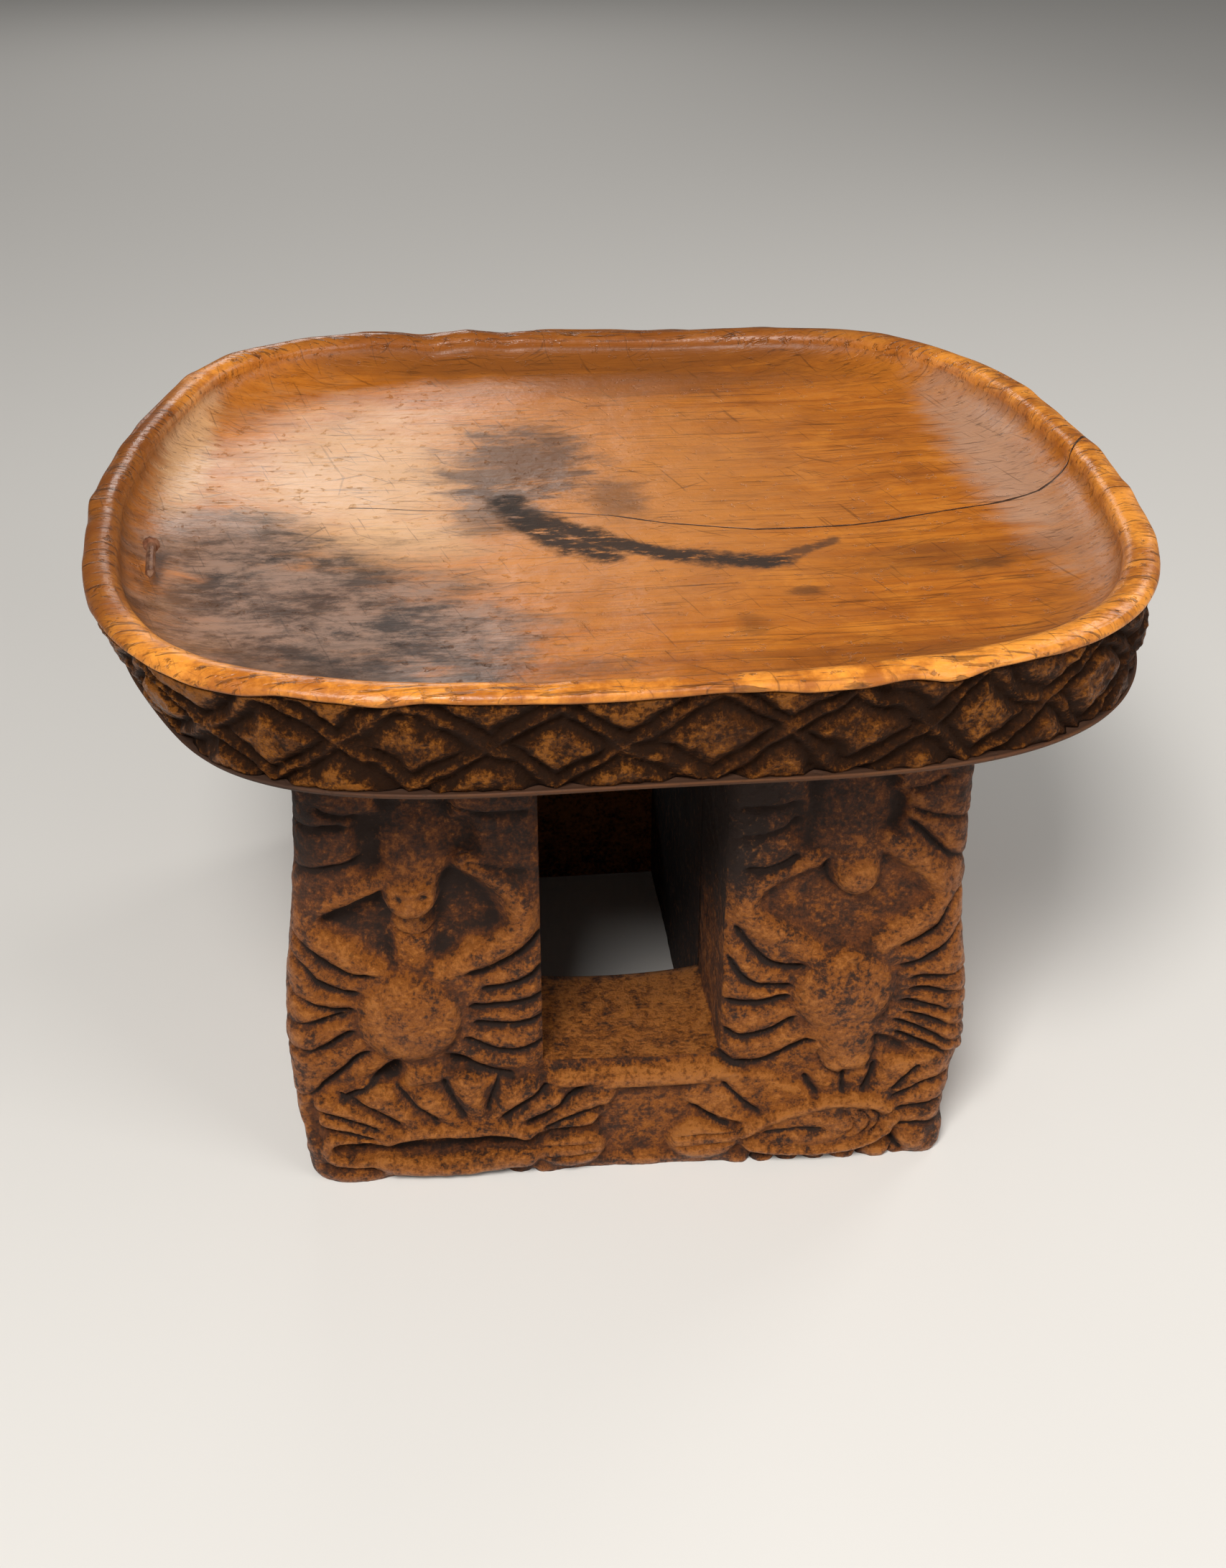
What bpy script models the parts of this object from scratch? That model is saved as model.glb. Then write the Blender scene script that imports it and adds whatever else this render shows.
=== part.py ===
"""Low carved stool: a dished rounded-square seat on a hollow base with animal figures in relief.

Metres, +Z up, front towards -Y. The origin is on the floor under the middle of the seat.
Left and right are as seen from the front. Heights stack from the floor up, so a change of one
member moves everything above it.
"""
import math

import bmesh
import bpy
from mathutils import Vector

# Clearance between neighbouring members, and the carved groove between reliefs
GAP = 0.0003
GROOVE = 0.002

# Base plan
WINDOW_W = 0.087
POST_W = 0.118
PLATE_T = 0.083
CAVITY_D = 0.194
BASE_SHIFT = -0.0055
CORNER_R = 0.014
RELIEF = 0.022
SIDE_RELIEF = 0.008

# Heights of the sill and of the figure that stands on it
SILL_H = 0.067
TAIL_H = 0.015
BELLY_H = 0.054
NECK_H = 0.024
SNOUT_H = 0.026
CROWN_H = 0.073

# Widths of the figure
TAIL_W = 0.026
BELLY_W = 0.052
NECK_W = 0.024
SNOUT_W = 0.027
CROWN_W = 0.038
CROWN_TAPER = 0.022
FORELEG_W = 0.017
EDGE = 0.002

# How far each member of the figure stands off the post
TAIL_T = 0.014
BELLY_T = 0.025
NECK_T = 0.014
SNOUT_T = 0.025
CROWN_T = 0.019
FORELEG_T = 0.020

# Ribs, bands and leaves
OUTER_LEGS = 6
INNER_LEGS = 6
LEG_SAG = 0.007
OUTER_BANDS = 3
INNER_BANDS = 3
LEAVES = 6
LEAF_SPREAD = 0.22
LEG_FLOOR = 0.58
BAND_FLOOR = 0.80
LEAF_FLOOR = 0.45

# Sill and the creature that lies along it
SILL_INSET = 0.004
SILL_R = 0.016
SILL_RELIEF = 0.006
SILL_EDGE_R = 0.006
SILL_PLAIN = 0.030
CREATURE_T = 0.010
CREATURE_FOOT = 0.006
CREATURE_H = 0.031
PADDLE_L = 0.034
PADDLE_H = 0.021
WAIST_H = 0.010

# Seat
SEAT_W = 0.500
SEAT_D = 0.500
SEAT_SQUARENESS = 3.2
FOOT_BAND = 0.005
FOOT_ROUND = 0.003
LATTICE_H = 0.042
LATTICE_T = 0.009
LATTICE_CUT = 0.004
LATTICE_CROSSINGS = 28
SIDE_LEAN = 0.010
LIP_DROP = 0.002
LIP_CROWN = 0.004
LIP_W = 0.019
DISH_WALL = 0.038
DISH_DROP = 0.018
FLOOR_SAG = 0.004

# Iron nail bent over on the inside of the rim
NAIL_L = 0.038
NAIL_R = 0.0022
NAIL_HEAD_R = 0.0040
NAIL_HEAD_T = 0.0022
NAIL_POINT = 0.006
NAIL_Y = -0.060
NAIL_CLEAR = 0.0006

# Facet counts
SIDES_PER_CROSSING = 4
ARC_STEPS = 4
DOME_STEPS = 6
LOBE_STEPS = 3

# Places that follow from the sizes
BASE_W = WINDOW_W + 2 * POST_W
BASE_D = CAVITY_D + 2 * PLATE_T
FIGURE_X = (WINDOW_W + POST_W) / 2
FACE_Y = BASE_D / 2 - RELIEF
SILL_Y = BASE_D / 2 - SILL_RELIEF
CORE_X = BASE_W / 2 - SIDE_RELIEF
BELLY_Z0 = SILL_H + TAIL_H
NECK_Z0 = BELLY_Z0 + BELLY_H
SNOUT_Z0 = NECK_Z0 + NECK_H
CROWN_Z0 = SNOUT_Z0 + SNOUT_H
SEAT_UNDER = CROWN_Z0 + CROWN_H
LATTICE_Z0 = SEAT_UNDER + FOOT_BAND
LATTICE_Z1 = LATTICE_Z0 + LATTICE_H
LIP_Z = LATTICE_Z1 + LIP_DROP
RIM_SIDES = LATTICE_CROSSINGS * SIDES_PER_CROSSING
POST_R = min(CORNER_R, POST_W / 2 - SIDE_RELIEF - BELLY_W / 2 - 2 * GROOVE)

# Empty scene, collection and materials
for old in list(bpy.data.objects):
    bpy.data.objects.remove(old, do_unlink=True)
stool = bpy.data.collections.new("bamileke_stool")
bpy.context.scene.collection.children.link(stool)
cutters = bpy.data.collections.new("cutters")
bpy.context.scene.collection.children.link(cutters)


def make_material(name, colour, roughness, metallic=0.0):
    """A Principled BSDF material with plain values."""
    material = bpy.data.materials.new(name)
    material.use_nodes = True
    shader = material.node_tree.nodes["Principled BSDF"]
    shader.inputs["Base Color"].default_value = (*colour, 1.0)
    shader.inputs["Roughness"].default_value = roughness
    shader.inputs["Metallic"].default_value = metallic
    return material


polished_wood = make_material("polished_wood", (0.36, 0.16, 0.05), 0.30)
dark_wood = make_material("dark_wood", (0.10, 0.055, 0.03), 0.55)
carved_wood = make_material("carved_wood", (0.24, 0.12, 0.055), 0.65)
figure_wood = make_material("figure_wood", (0.29, 0.15, 0.065), 0.55)
nail_iron = make_material("nail_iron", (0.12, 0.07, 0.05), 0.45, 0.8)


def make_empty(name, parent=None, location=(0.0, 0.0, 0.0), turn=0.0):
    """A frame that carries members."""
    empty = bpy.data.objects.new(name, None)
    empty.location = location
    empty.rotation_euler.z = turn
    empty.parent = parent
    stool.objects.link(empty)
    return empty


def finish(bm, name, material, parent, location=(0.0, 0.0, 0.0), smooth=40.0):
    """Close a bmesh into a named object with outward faces."""
    bmesh.ops.recalc_face_normals(bm, faces=bm.faces)
    mesh = bpy.data.meshes.new(name)
    bm.to_mesh(mesh)
    bm.free()
    mesh.shade_smooth()
    mesh.set_sharp_from_angle(angle=math.radians(smooth))
    mesh.materials.append(material)
    obj = bpy.data.objects.new(name, mesh)
    obj.location = location
    obj.parent = parent
    stool.objects.link(obj)
    return obj


def arc(centre, radius, start, end, steps):
    """Points on an arc in the plane, angles in degrees."""
    points = []
    for step in range(steps + 1):
        angle = math.radians(start + (end - start) * step / steps)
        points.append((centre[0] + radius * math.cos(angle), centre[1] + radius * math.sin(angle)))
    return points


def prism(outline, z0, z1):
    """A bmesh of a flat outline drawn up from z0 to z1."""
    bm = bmesh.new()
    face = bm.faces.new([bm.verts.new((x, y, z0)) for x, y in outline])
    raised = bmesh.ops.extrude_face_region(bm, geom=[face])
    top = [item for item in raised["geom"] if isinstance(item, bmesh.types.BMVert)]
    bmesh.ops.translate(bm, verts=top, vec=(0.0, 0.0, z1 - z0))
    return bm


def skin(bm, loops, closed):
    """Quads between neighbouring loops of vertices, each loop of the same length."""
    for lower, upper in zip(loops, loops[1:]):
        count = len(lower)
        for k in range(count if closed else count - 1):
            nxt = (k + 1) % count
            bm.faces.new((lower[k], lower[nxt], upper[nxt], upper[k]))


# Seat outline


def superellipse(inset, count):
    """Points of the seat's outline drawn in by an inset, at equal steps of length."""
    half_w = SEAT_W / 2 - inset
    half_d = SEAT_D / 2 - inset
    power = 2.0 / SEAT_SQUARENESS
    fine = []
    for step in range(count * 24):
        angle = 2 * math.pi * step / (count * 24)
        c = math.cos(angle)
        s = math.sin(angle)
        fine.append((math.copysign(half_w * abs(c) ** power, c), math.copysign(half_d * abs(s) ** power, s)))
    fine.append(fine[0])
    run = [0.0]
    for a, b in zip(fine, fine[1:]):
        run.append(run[-1] + math.dist(a, b))
    points = []
    k = 0
    for step in range(count):
        want = run[-1] * step / count
        while run[k + 1] < want:
            k += 1
        share = (want - run[k]) / (run[k + 1] - run[k])
        points.append((fine[k][0] + share * (fine[k + 1][0] - fine[k][0]),
                       fine[k][1] + share * (fine[k + 1][1] - fine[k][1])))
    return points


OUTLINE = superellipse(0.0, RIM_SIDES)


def rim_loop(inset):
    """The outline drawn in, with the same sides as every other loop of the seat."""
    scale_w = 1.0 - inset / (SEAT_W / 2)
    scale_d = 1.0 - inset / (SEAT_D / 2)
    return [(x * scale_w, y * scale_d) for x, y in OUTLINE]


def side_lean(z):
    """How far the seat's side lies inside the lip at a height: it draws in downwards."""
    return SIDE_LEAN * (LATTICE_Z1 - z) / (LATTICE_Z1 - SEAT_UNDER)


def dish_profile():
    """Inset and height from the lip's outer side over the crown and down to the floor's edge."""
    profile = []
    for step in range(DOME_STEPS + 1):
        angle = math.pi * step / DOME_STEPS
        profile.append((LIP_W / 2 * (1 - math.cos(angle)), LIP_Z + LIP_CROWN * math.sin(angle)))
    for step in range(1, ARC_STEPS + 1):
        angle = math.pi / 2 * step / ARC_STEPS
        profile.append((LIP_W + DISH_WALL * (1 - math.cos(angle)), LIP_Z - DISH_DROP * math.sin(angle)))
    return profile


DISH = dish_profile()


def make_seat(parent):
    """Dished seat: plain foot, recess that carries the lattice, rounded lip and dish."""
    profile = [
        (SIDE_LEAN + FOOT_ROUND, SEAT_UNDER),
        (SIDE_LEAN, SEAT_UNDER + FOOT_ROUND),
        (side_lean(LATTICE_Z0), LATTICE_Z0),
        (side_lean(LATTICE_Z0) + LATTICE_T, LATTICE_Z0),
        (side_lean(LATTICE_Z1) + LATTICE_T, LATTICE_Z1),
        (0.0, LATTICE_Z1),
    ]
    profile += DISH
    edge_inset, edge_z = DISH[-1]
    half = min(SEAT_W, SEAT_D) / 2
    profile.append((edge_inset + (half - edge_inset) / 2, edge_z - FLOOR_SAG * 0.75))
    bm = bmesh.new()
    loops = []
    for inset, z in profile:
        loops.append([bm.verts.new((x, y, z)) for x, y in rim_loop(inset)])
    skin(bm, loops, closed=True)
    bm.faces.new(loops[0])
    middle = bm.verts.new((0.0, 0.0, edge_z - FLOOR_SAG))
    last = loops[-1]
    for k, vert in enumerate(last):
        bm.faces.new((vert, last[(k + 1) % len(last)], middle))
    return finish(bm, "seat_dish", polished_wood, parent)


def make_lattice(parent):
    """Band of lozenges: two zigzag grooves that cross at mid height all round the seat."""
    levels = 4
    z0 = LATTICE_Z0 + GAP
    z1 = LATTICE_Z1 - GAP
    bm = bmesh.new()
    outer = []
    for level in range(levels + 1):
        z = z0 + (z1 - z0) * level / levels
        raised = rim_loop(side_lean(z))
        sunk = rim_loop(side_lean(z) + LATTICE_CUT)
        row = []
        for k in range(RIM_SIDES):
            phase = k % SIDES_PER_CROSSING
            reach = min(phase, SIDES_PER_CROSSING - phase)
            on_groove = abs(level - levels / 2) == reach
            x, y = sunk[k] if on_groove else raised[k]
            row.append(bm.verts.new((x, y, z)))
        outer.append(row)
    for level in range(levels):
        low = outer[level]
        high = outer[level + 1]
        for k in range(RIM_SIDES):
            nxt = (k + 1) % RIM_SIDES
            first_half = k % SIDES_PER_CROSSING < SIDES_PER_CROSSING / 2
            rising = first_half == (level >= levels / 2)
            if rising:
                bm.faces.new((low[k], low[nxt], high[nxt]))
                bm.faces.new((low[k], high[nxt], high[k]))
            else:
                bm.faces.new((low[k], low[nxt], high[k]))
                bm.faces.new((low[nxt], high[nxt], high[k]))
    inner = []
    for z in (z0, z1):
        inset = side_lean(z) + LATTICE_T - GAP
        inner.append([bm.verts.new((x, y, z)) for x, y in rim_loop(inset)])
    skin(bm, [outer[-1], inner[1], inner[0], outer[0]], closed=True)
    return finish(bm, "seat_lattice_band", dark_wood, parent, smooth=12.0)


def wall_point(y, share):
    """A place on the left side of the dish's wall facet, at a Y and a share of the facet's width."""
    k = DOME_STEPS + 1
    (inset_a, z_a), (inset_b, z_b) = DISH[k], DISH[k + 1]
    inset = inset_a + (inset_b - inset_a) * share
    loop = rim_loop(inset)
    for a, b in zip(loop, loop[1:] + loop[:1]):
        if a[0] < 0 and min(a[1], b[1]) <= y <= max(a[1], b[1]):
            x = a[0] + (b[0] - a[0]) * (y - a[1]) / (b[1] - a[1])
            break
    normal = Vector((z_a - z_b, 0.0, inset_b - inset_a)).normalized()
    return Vector((x, y, z_a + (z_b - z_a) * share)), normal


def make_nail(parent):
    """Turned nail that lies along the dish's left wall, its head towards the back."""
    head_seat, head_up = wall_point(NAIL_Y, 0.5)
    tip_seat, tip_up = wall_point(NAIL_Y - NAIL_L, 0.5)
    head = head_seat + head_up * (NAIL_HEAD_R + NAIL_CLEAR)
    tip = tip_seat + tip_up * (NAIL_R + NAIL_CLEAR)
    half_head = NAIL_HEAD_T / 2
    outline = [
        (0.0, 0.0),
        (NAIL_HEAD_R * 0.75, 0.0),
        (NAIL_HEAD_R, -half_head),
        (NAIL_HEAD_R, -NAIL_HEAD_T),
        (NAIL_R, -NAIL_HEAD_T),
        (NAIL_R, -NAIL_L + NAIL_POINT),
        (0.0, -NAIL_L),
    ]
    mesh = bpy.data.meshes.new("rim_nail")
    edges = [(k, k + 1) for k in range(len(outline) - 1)]
    mesh.from_pydata([(x, 0.0, z) for x, z in outline], edges, [])
    mesh.materials.append(nail_iron)
    nail = bpy.data.objects.new("rim_nail", mesh)
    turn = nail.modifiers.new("turn", "SCREW")
    turn.steps = 10
    turn.render_steps = 10
    turn.use_merge_vertices = True
    turn.merge_threshold = 0.00001
    turn.use_smooth_shade = True
    nail.location = head
    nail.rotation_mode = "QUATERNION"
    nail.rotation_quaternion = (head - tip).to_track_quat("Z", "X")
    nail.parent = parent
    stool.objects.link(nail)
    return nail


# Base frame


def post_corner():
    """Plan points of the post's rounded outer corner, from the front face round to the side."""
    centre = (CORE_X - POST_R, FACE_Y - POST_R)
    return arc(centre, POST_R, 90.0, 0.0, ARC_STEPS)


def make_post(name, parent, side):
    """Corner post behind a figure, standing on the sill; the plan is in the face's own frame."""
    back = CAVITY_D / 2
    outline = [(WINDOW_W / 2, back), (WINDOW_W / 2, FACE_Y)]
    outline += post_corner()
    outline.append((CORE_X, back))
    plan = [(side * a, -y) for a, y in outline]
    bm = prism(plan, SILL_H + GAP, SEAT_UNDER - GAP)
    return finish(bm, name, carved_wood, parent)


def make_side_wall(name, parent, side):
    """Plain block between the posts, flush with the window, with a skin that covers the posts' sides."""
    reach = CAVITY_D / 2 - GAP
    cover = FACE_Y - POST_R - GROOVE
    inner = side * WINDOW_W / 2
    outer = side * BASE_W / 2
    core = side * (CORE_X + GAP)
    top = SEAT_UNDER - GAP
    wall = finish(prism(((inner, -reach), (outer, -reach), (outer, reach), (inner, reach)), 0.0, top),
                  name, carved_wood, parent)
    sheet = prism(((core, -cover), (outer, -cover), (outer, cover), (core, cover)), SILL_H + GAP, top)
    skin_part = finish(sheet, name + "_skin", carved_wood, parent)
    stool.objects.unlink(skin_part)
    cutters.objects.link(skin_part)
    skin_part.hide_render = True
    skin_part.display_type = "WIRE"
    join = wall.modifiers.new("skin", "BOOLEAN")
    join.operation = "UNION"
    join.object = skin_part
    return wall


def make_sill(name, parent):
    """Bar under the window and the posts, with worn edges."""
    half = BASE_W / 2 - SILL_INSET
    back = CAVITY_D / 2
    right = arc((half - SILL_R, SILL_Y - SILL_R), SILL_R, 90.0, 0.0, ARC_STEPS)
    right.append((half, back))
    left = [(-a, y) for a, y in reversed(right)]
    plan = [(a, -y) for a, y in left + right]
    bm = prism(plan, 0.0, SILL_H)
    sill = finish(bm, name, carved_wood, parent)
    bevel = sill.modifiers.new("worn_edges", "BEVEL")
    bevel.width = SILL_EDGE_R
    bevel.segments = 2
    bevel.limit_method = "ANGLE"
    bevel.angle_limit = math.radians(60.0)
    return sill


# Reliefs: swept domes and lobed panels in the frame of one face


def dome_sweep(name, parent, side, face, stations):
    """A rounded member with a flat back along a path on the face.

    A station is (a, z, half width, height off the face); a runs outwards from the base's middle.
    """
    bm = bmesh.new()
    loops = []
    for k, (a, z, half, height) in enumerate(stations):
        before = stations[max(k - 1, 0)]
        after = stations[min(k + 1, len(stations) - 1)]
        along = Vector((after[0] - before[0], after[1] - before[1])).normalized()
        across = Vector((along.y, -along.x))
        loop = []
        for step in range(DOME_STEPS + 1):
            angle = math.pi * step / DOME_STEPS
            offset = across * (half * math.cos(angle))
            stand = GAP + height * math.sin(angle)
            loop.append(bm.verts.new((side * (a + offset.x), -(face + stand), z + offset.y)))
        loops.append(loop)
    skin(bm, loops, closed=True)
    bm.faces.new(loops[0])
    bm.faces.new(loops[-1])
    return finish(bm, name, figure_wood, parent)


def slab(name, parent, side, front, back):
    """A closed panel from a front grid and a back grid of face points (a, y outwards, z)."""
    bm = bmesh.new()
    grids = []
    for grid in (front, back):
        grids.append([[bm.verts.new((side * a, -y, z)) for a, y, z in row] for row in grid])
    for grid in grids:
        skin(bm, grid, closed=False)
    edges = []
    for grid in grids:
        edge = grid[0] + [row[-1] for row in grid[1:]]
        edge += grid[-1][-2::-1] + [row[0] for row in grid[-2:0:-1]]
        edges.append(edge)
    skin(bm, edges, closed=True)
    return finish(bm, name, figure_wood, parent, smooth=30.0)


def lobe(share, count, floor):
    """Height of a row of rounded lobes, from the groove between them to their crowns."""
    phase = (share * count) % 1.0
    return floor + (1.0 - floor) * math.sin(math.pi * phase)


def outer_columns():
    """Plan columns round the post's corner to its side: point and outward normal."""
    columns = []
    for step, (a, y) in enumerate(post_corner()):
        turn = math.radians(90.0 - 90.0 * step / ARC_STEPS)
        columns.append((a, y, math.cos(turn), math.sin(turn)))
    return columns


def inner_columns():
    """Plan columns on the flat face up to the window's edge."""
    return [(WINDOW_W / 2 + EDGE, FACE_Y, 0.0, 1.0)]


def lobed_panel(name, parent, side, outward, start, first_u, widest, bottom, top, count, floor, sag):
    """A panel of curved ribs from the figure outwards, between two height rules.

    start gives the distance from the figure's axis where the ribs begin at a height, first_u the
    distance whose height rules their first column keeps, and widest the figure's greatest reach,
    where the straight columns begin. The outer panel runs round the corner.
    """
    columns = outer_columns() if outward > 0 else inner_columns()
    near_a = FIGURE_X + outward * first_u
    wide_a = FIGURE_X + outward * widest
    lead = (0.0, 1.0 / 3.0, 2.0 / 3.0)
    last = len(lead) + len(columns) - 1
    rows = count * LOBE_STEPS
    front = []
    back = []
    for k in range(last + 1):
        a, y, na, ny = columns[max(0, k - len(lead))]
        if k < len(lead):
            a = wide_a + (a - wide_a) * lead[k]
        rule_a = near_a if k == 0 else a
        low = bottom(abs(rule_a - FIGURE_X))
        high = top(abs(rule_a - FIGURE_X))
        depth = SIDE_RELIEF + (RELIEF - SIDE_RELIEF) * ny
        fade = 1.0 - ny
        droop = sag * math.sin(math.pi * k / last)
        front_row = []
        back_row = []
        for row in range(rows + 1):
            share = row / rows
            z = low + (high - low) * share - droop * math.sin(math.pi * share)
            ribbed = lobe(share, count, floor)
            stand = depth * (ribbed + (1.0 - ribbed) * fade)
            at = FIGURE_X + outward * start(z) if k == 0 else a
            front_row.append((at + na * stand, y + ny * stand, z))
            back_row.append((at + na * GAP, y + ny * GAP, z))
        front.append(front_row)
        back.append(back_row)
    return slab(name, parent, side, front, back)


def ellipse_half(at, centre, length, width):
    """Half width of an ellipse at a place along its length, nought outside it."""
    share = (at - centre) / (length / 2)
    return width / 2 * math.sqrt(max(0.0, 1.0 - share * share))


def make_head(name, parent, side):
    """Long head: a round snout below, widening to the crown under the seat."""
    snout_z = SNOUT_Z0 + SNOUT_H / 2
    top = SEAT_UNDER - GAP
    stations = []
    for share in (0.04, 0.14, 0.3, 0.5, 0.72):
        z = SNOUT_Z0 + SNOUT_H * share
        half = ellipse_half(z, snout_z, SNOUT_H, SNOUT_W)
        stations.append((FIGURE_X, z, half, SNOUT_T * (0.4 + 0.6 * half / (SNOUT_W / 2))))
    stations.append((FIGURE_X, CROWN_Z0, SNOUT_W * 0.43, CROWN_T * 0.9))
    stations.append((FIGURE_X, CROWN_Z0 + CROWN_TAPER / 2, (SNOUT_W * 0.5 + CROWN_W * 0.5) / 2, CROWN_T))
    stations.append((FIGURE_X, CROWN_Z0 + CROWN_TAPER, CROWN_W / 2, CROWN_T))
    stations.append((FIGURE_X, top, CROWN_W / 2, CROWN_T * 0.8))
    return dome_sweep(name, parent, side, FACE_Y, stations)


def body_half(z):
    """Half width of the neck, belly and tail bulb at a height."""
    tail = ellipse_half(z, SILL_H + TAIL_H / 2, TAIL_H * 1.2, TAIL_W)
    belly = ellipse_half(z, BELLY_Z0 + BELLY_H / 2, BELLY_H, BELLY_W)
    return max(tail, belly, NECK_W / 2)


def make_body(name, parent, side):
    """Neck, round belly and the small bulb below it, in one upright member."""
    stations = []
    tail_z = SILL_H + TAIL_H / 2
    belly_z = BELLY_Z0 + BELLY_H / 2
    for share in (0.10, 0.45, 0.80):
        z = SILL_H + TAIL_H * share
        half = ellipse_half(z, tail_z, TAIL_H * 1.2, TAIL_W)
        stations.append((FIGURE_X, z, half, TAIL_T * half / (TAIL_W / 2)))
    for share in (0.06, 0.18, 0.34, 0.5, 0.66, 0.82, 0.93):
        z = BELLY_Z0 + BELLY_H * share
        half = ellipse_half(z, belly_z, BELLY_H, BELLY_W)
        stations.append((FIGURE_X, z, half, BELLY_T * (0.4 + 0.6 * half / (BELLY_W / 2))))
    stations.append((FIGURE_X, NECK_Z0 + NECK_H * 0.25, NECK_W / 2, NECK_T))
    stations.append((FIGURE_X, SNOUT_Z0 - GROOVE, NECK_W / 2, NECK_T))
    return dome_sweep(name, parent, side, FACE_Y, stations)


def foreleg_path():
    """Bent foreleg from beside the snout, out to the elbow and back in under the neck."""
    half = FORELEG_W / 2
    hand = (SNOUT_W / 2 + GROOVE + 0.65 * half, CROWN_Z0 - half * 0.2)
    elbow = (POST_W / 2 - EDGE - 1.15 * half, SNOUT_Z0 + half * 0.4)
    shoulder = (NECK_W / 2 + GROOVE + 0.75 * half, NECK_Z0 + half * 0.15)
    return hand, elbow, shoulder


def leg_edge(u, elbow, other, sign):
    """Height of a foreleg branch's edge, below (-1) or above (+1), at a distance from the axis."""
    run = elbow[0] - other[0]
    rise = elbow[1] - other[1]
    stretch = math.hypot(run, rise) / run
    inside = min(max(u, other[0]), elbow[0])
    middle = other[1] + rise * (inside - other[0]) / run
    return middle + sign * (FORELEG_W / 2 * stretch + GROOVE)


def make_foreleg(name, parent, side, outward):
    """One bent foreleg, drawn through three points with a rounded elbow."""
    hand, elbow, shoulder = foreleg_path()
    half = FORELEG_W / 2
    upper = math.dist(hand, elbow)
    lower = math.dist(elbow, shoulder)
    turn = 1.5 * half
    cut = 0.55 * half
    inside = blend(blend(hand, elbow, 1 - cut / upper), blend(elbow, shoulder, cut / lower), 0.5)
    stations = []
    for place, width in (
        (hand, 0.85),
        (blend(hand, elbow, (1 - turn / upper) / 2), 1.0),
        (blend(hand, elbow, 1 - turn / upper), 1.0),
        (inside, 1.0),
        (blend(elbow, shoulder, turn / lower), 1.0),
        (blend(elbow, shoulder, (1 + turn / lower) / 2), 1.0),
        (shoulder, 0.8),
    ):
        u, z = place
        stations.append((FIGURE_X + outward * u, z, half * width, FORELEG_T * width))
    return dome_sweep(name, parent, side, FACE_Y, stations)


def blend(a, b, share):
    """A point part of the way from one to another."""
    return a[0] + (b[0] - a[0]) * share, a[1] + (b[1] - a[1]) * share


def make_legs(name, parent, side, outward):
    """Ribbed legs that spread from the belly, below the foreleg; the outer ones turn the corner."""
    hand, elbow, shoulder = foreleg_path()
    count = OUTER_LEGS if outward > 0 else INNER_LEGS
    foot = SILL_H + GROOVE + LEG_SAG
    hip = BELLY_Z0 + LEG_SAG

    def bottom(u):
        share = min(1.0, (u - shoulder[0]) / (elbow[0] - shoulder[0]))
        return hip + (foot - hip) * share

    def top(u):
        return leg_edge(u, elbow, shoulder, -1)

    return lobed_panel(name, parent, side, outward, lambda z: body_half(z) + GROOVE, shoulder[0],
                       BELLY_W / 2 + GROOVE, bottom, top, count, LEG_FLOOR, LEG_SAG)


def make_bands(name, parent, side, outward):
    """Broad bands beside the head, above the foreleg, up to the seat."""
    hand, elbow, shoulder = foreleg_path()
    count = OUTER_BANDS if outward > 0 else INNER_BANDS
    start = CROWN_W / 2 + GROOVE

    def bottom(u):
        return leg_edge(u, elbow, hand, 1)

    return lobed_panel(name, parent, side, outward, lambda z: start, start,
                       start, bottom, lambda u: SEAT_UNDER - GAP, count, BAND_FLOOR, 0.0)


# The creature along the sill, and the leaves above it

CREATURE_Z = CREATURE_FOOT + CREATURE_H / 2
CREATURE_A0 = SILL_PLAIN / 2
CREATURE_A1 = BASE_W / 2 - SILL_INSET - SILL_R / 2


def creature_half(a):
    """Half height of the lying creature: a paddle, a waist and a long oval body."""
    body_l = CREATURE_A1 - CREATURE_A0 - PADDLE_L * 0.8
    paddle = ellipse_half(a, CREATURE_A0 + PADDLE_L / 2, PADDLE_L, PADDLE_H)
    body = ellipse_half(a, CREATURE_A1 - body_l / 2, body_l, CREATURE_H)
    waist = WAIST_H / 2 if CREATURE_A0 + PADDLE_L / 2 < a < CREATURE_A1 - body_l / 2 else 0.0
    return max(paddle, body, waist)


def make_creature(name, parent, side):
    """Animal lying along the sill, its head end a paddle towards the middle."""
    stations = []
    shares = (0.012, 0.06, 0.13, 0.2, 0.26, 0.34, 0.46, 0.62, 0.78, 0.9, 0.985)
    for share in shares:
        a = CREATURE_A0 + (CREATURE_A1 - CREATURE_A0) * share
        half = creature_half(a)
        height = CREATURE_T * min(1.0, 0.45 + 0.8 * half / (CREATURE_H / 2))
        stations.append((a, CREATURE_Z, half, height))
    return dome_sweep(name, parent, side, SILL_Y, stations)


def make_leaves(name, parent, side):
    """Fan of leaf-shaped legs between the creature and the top of the sill."""
    start = CREATURE_A0 + PADDLE_L / 3
    columns = LEAVES * LOBE_STEPS
    levels = 3
    ceiling = SILL_H - SILL_EDGE_R
    front = []
    back = []
    for column in range(columns + 1):
        share = column / columns
        foot_a = start + (CREATURE_A1 - start) * share
        low = CREATURE_Z + creature_half(foot_a) + GROOVE
        front_row = []
        back_row = []
        for level in range(levels + 1):
            rise = level / levels
            a = foot_a + (FIGURE_X - foot_a) * LEAF_SPREAD * rise
            z = low + (ceiling - low) * rise
            stand = CREATURE_T * lobe(share, LEAVES, LEAF_FLOOR)
            front_row.append((a, SILL_Y + stand, z))
            back_row.append((a, SILL_Y + GAP, z))
        front.append(front_row)
        back.append(back_row)
    return slab(name, parent, side, front, back)


# Build: the seat, then the base frame, then the reliefs of each face

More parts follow.
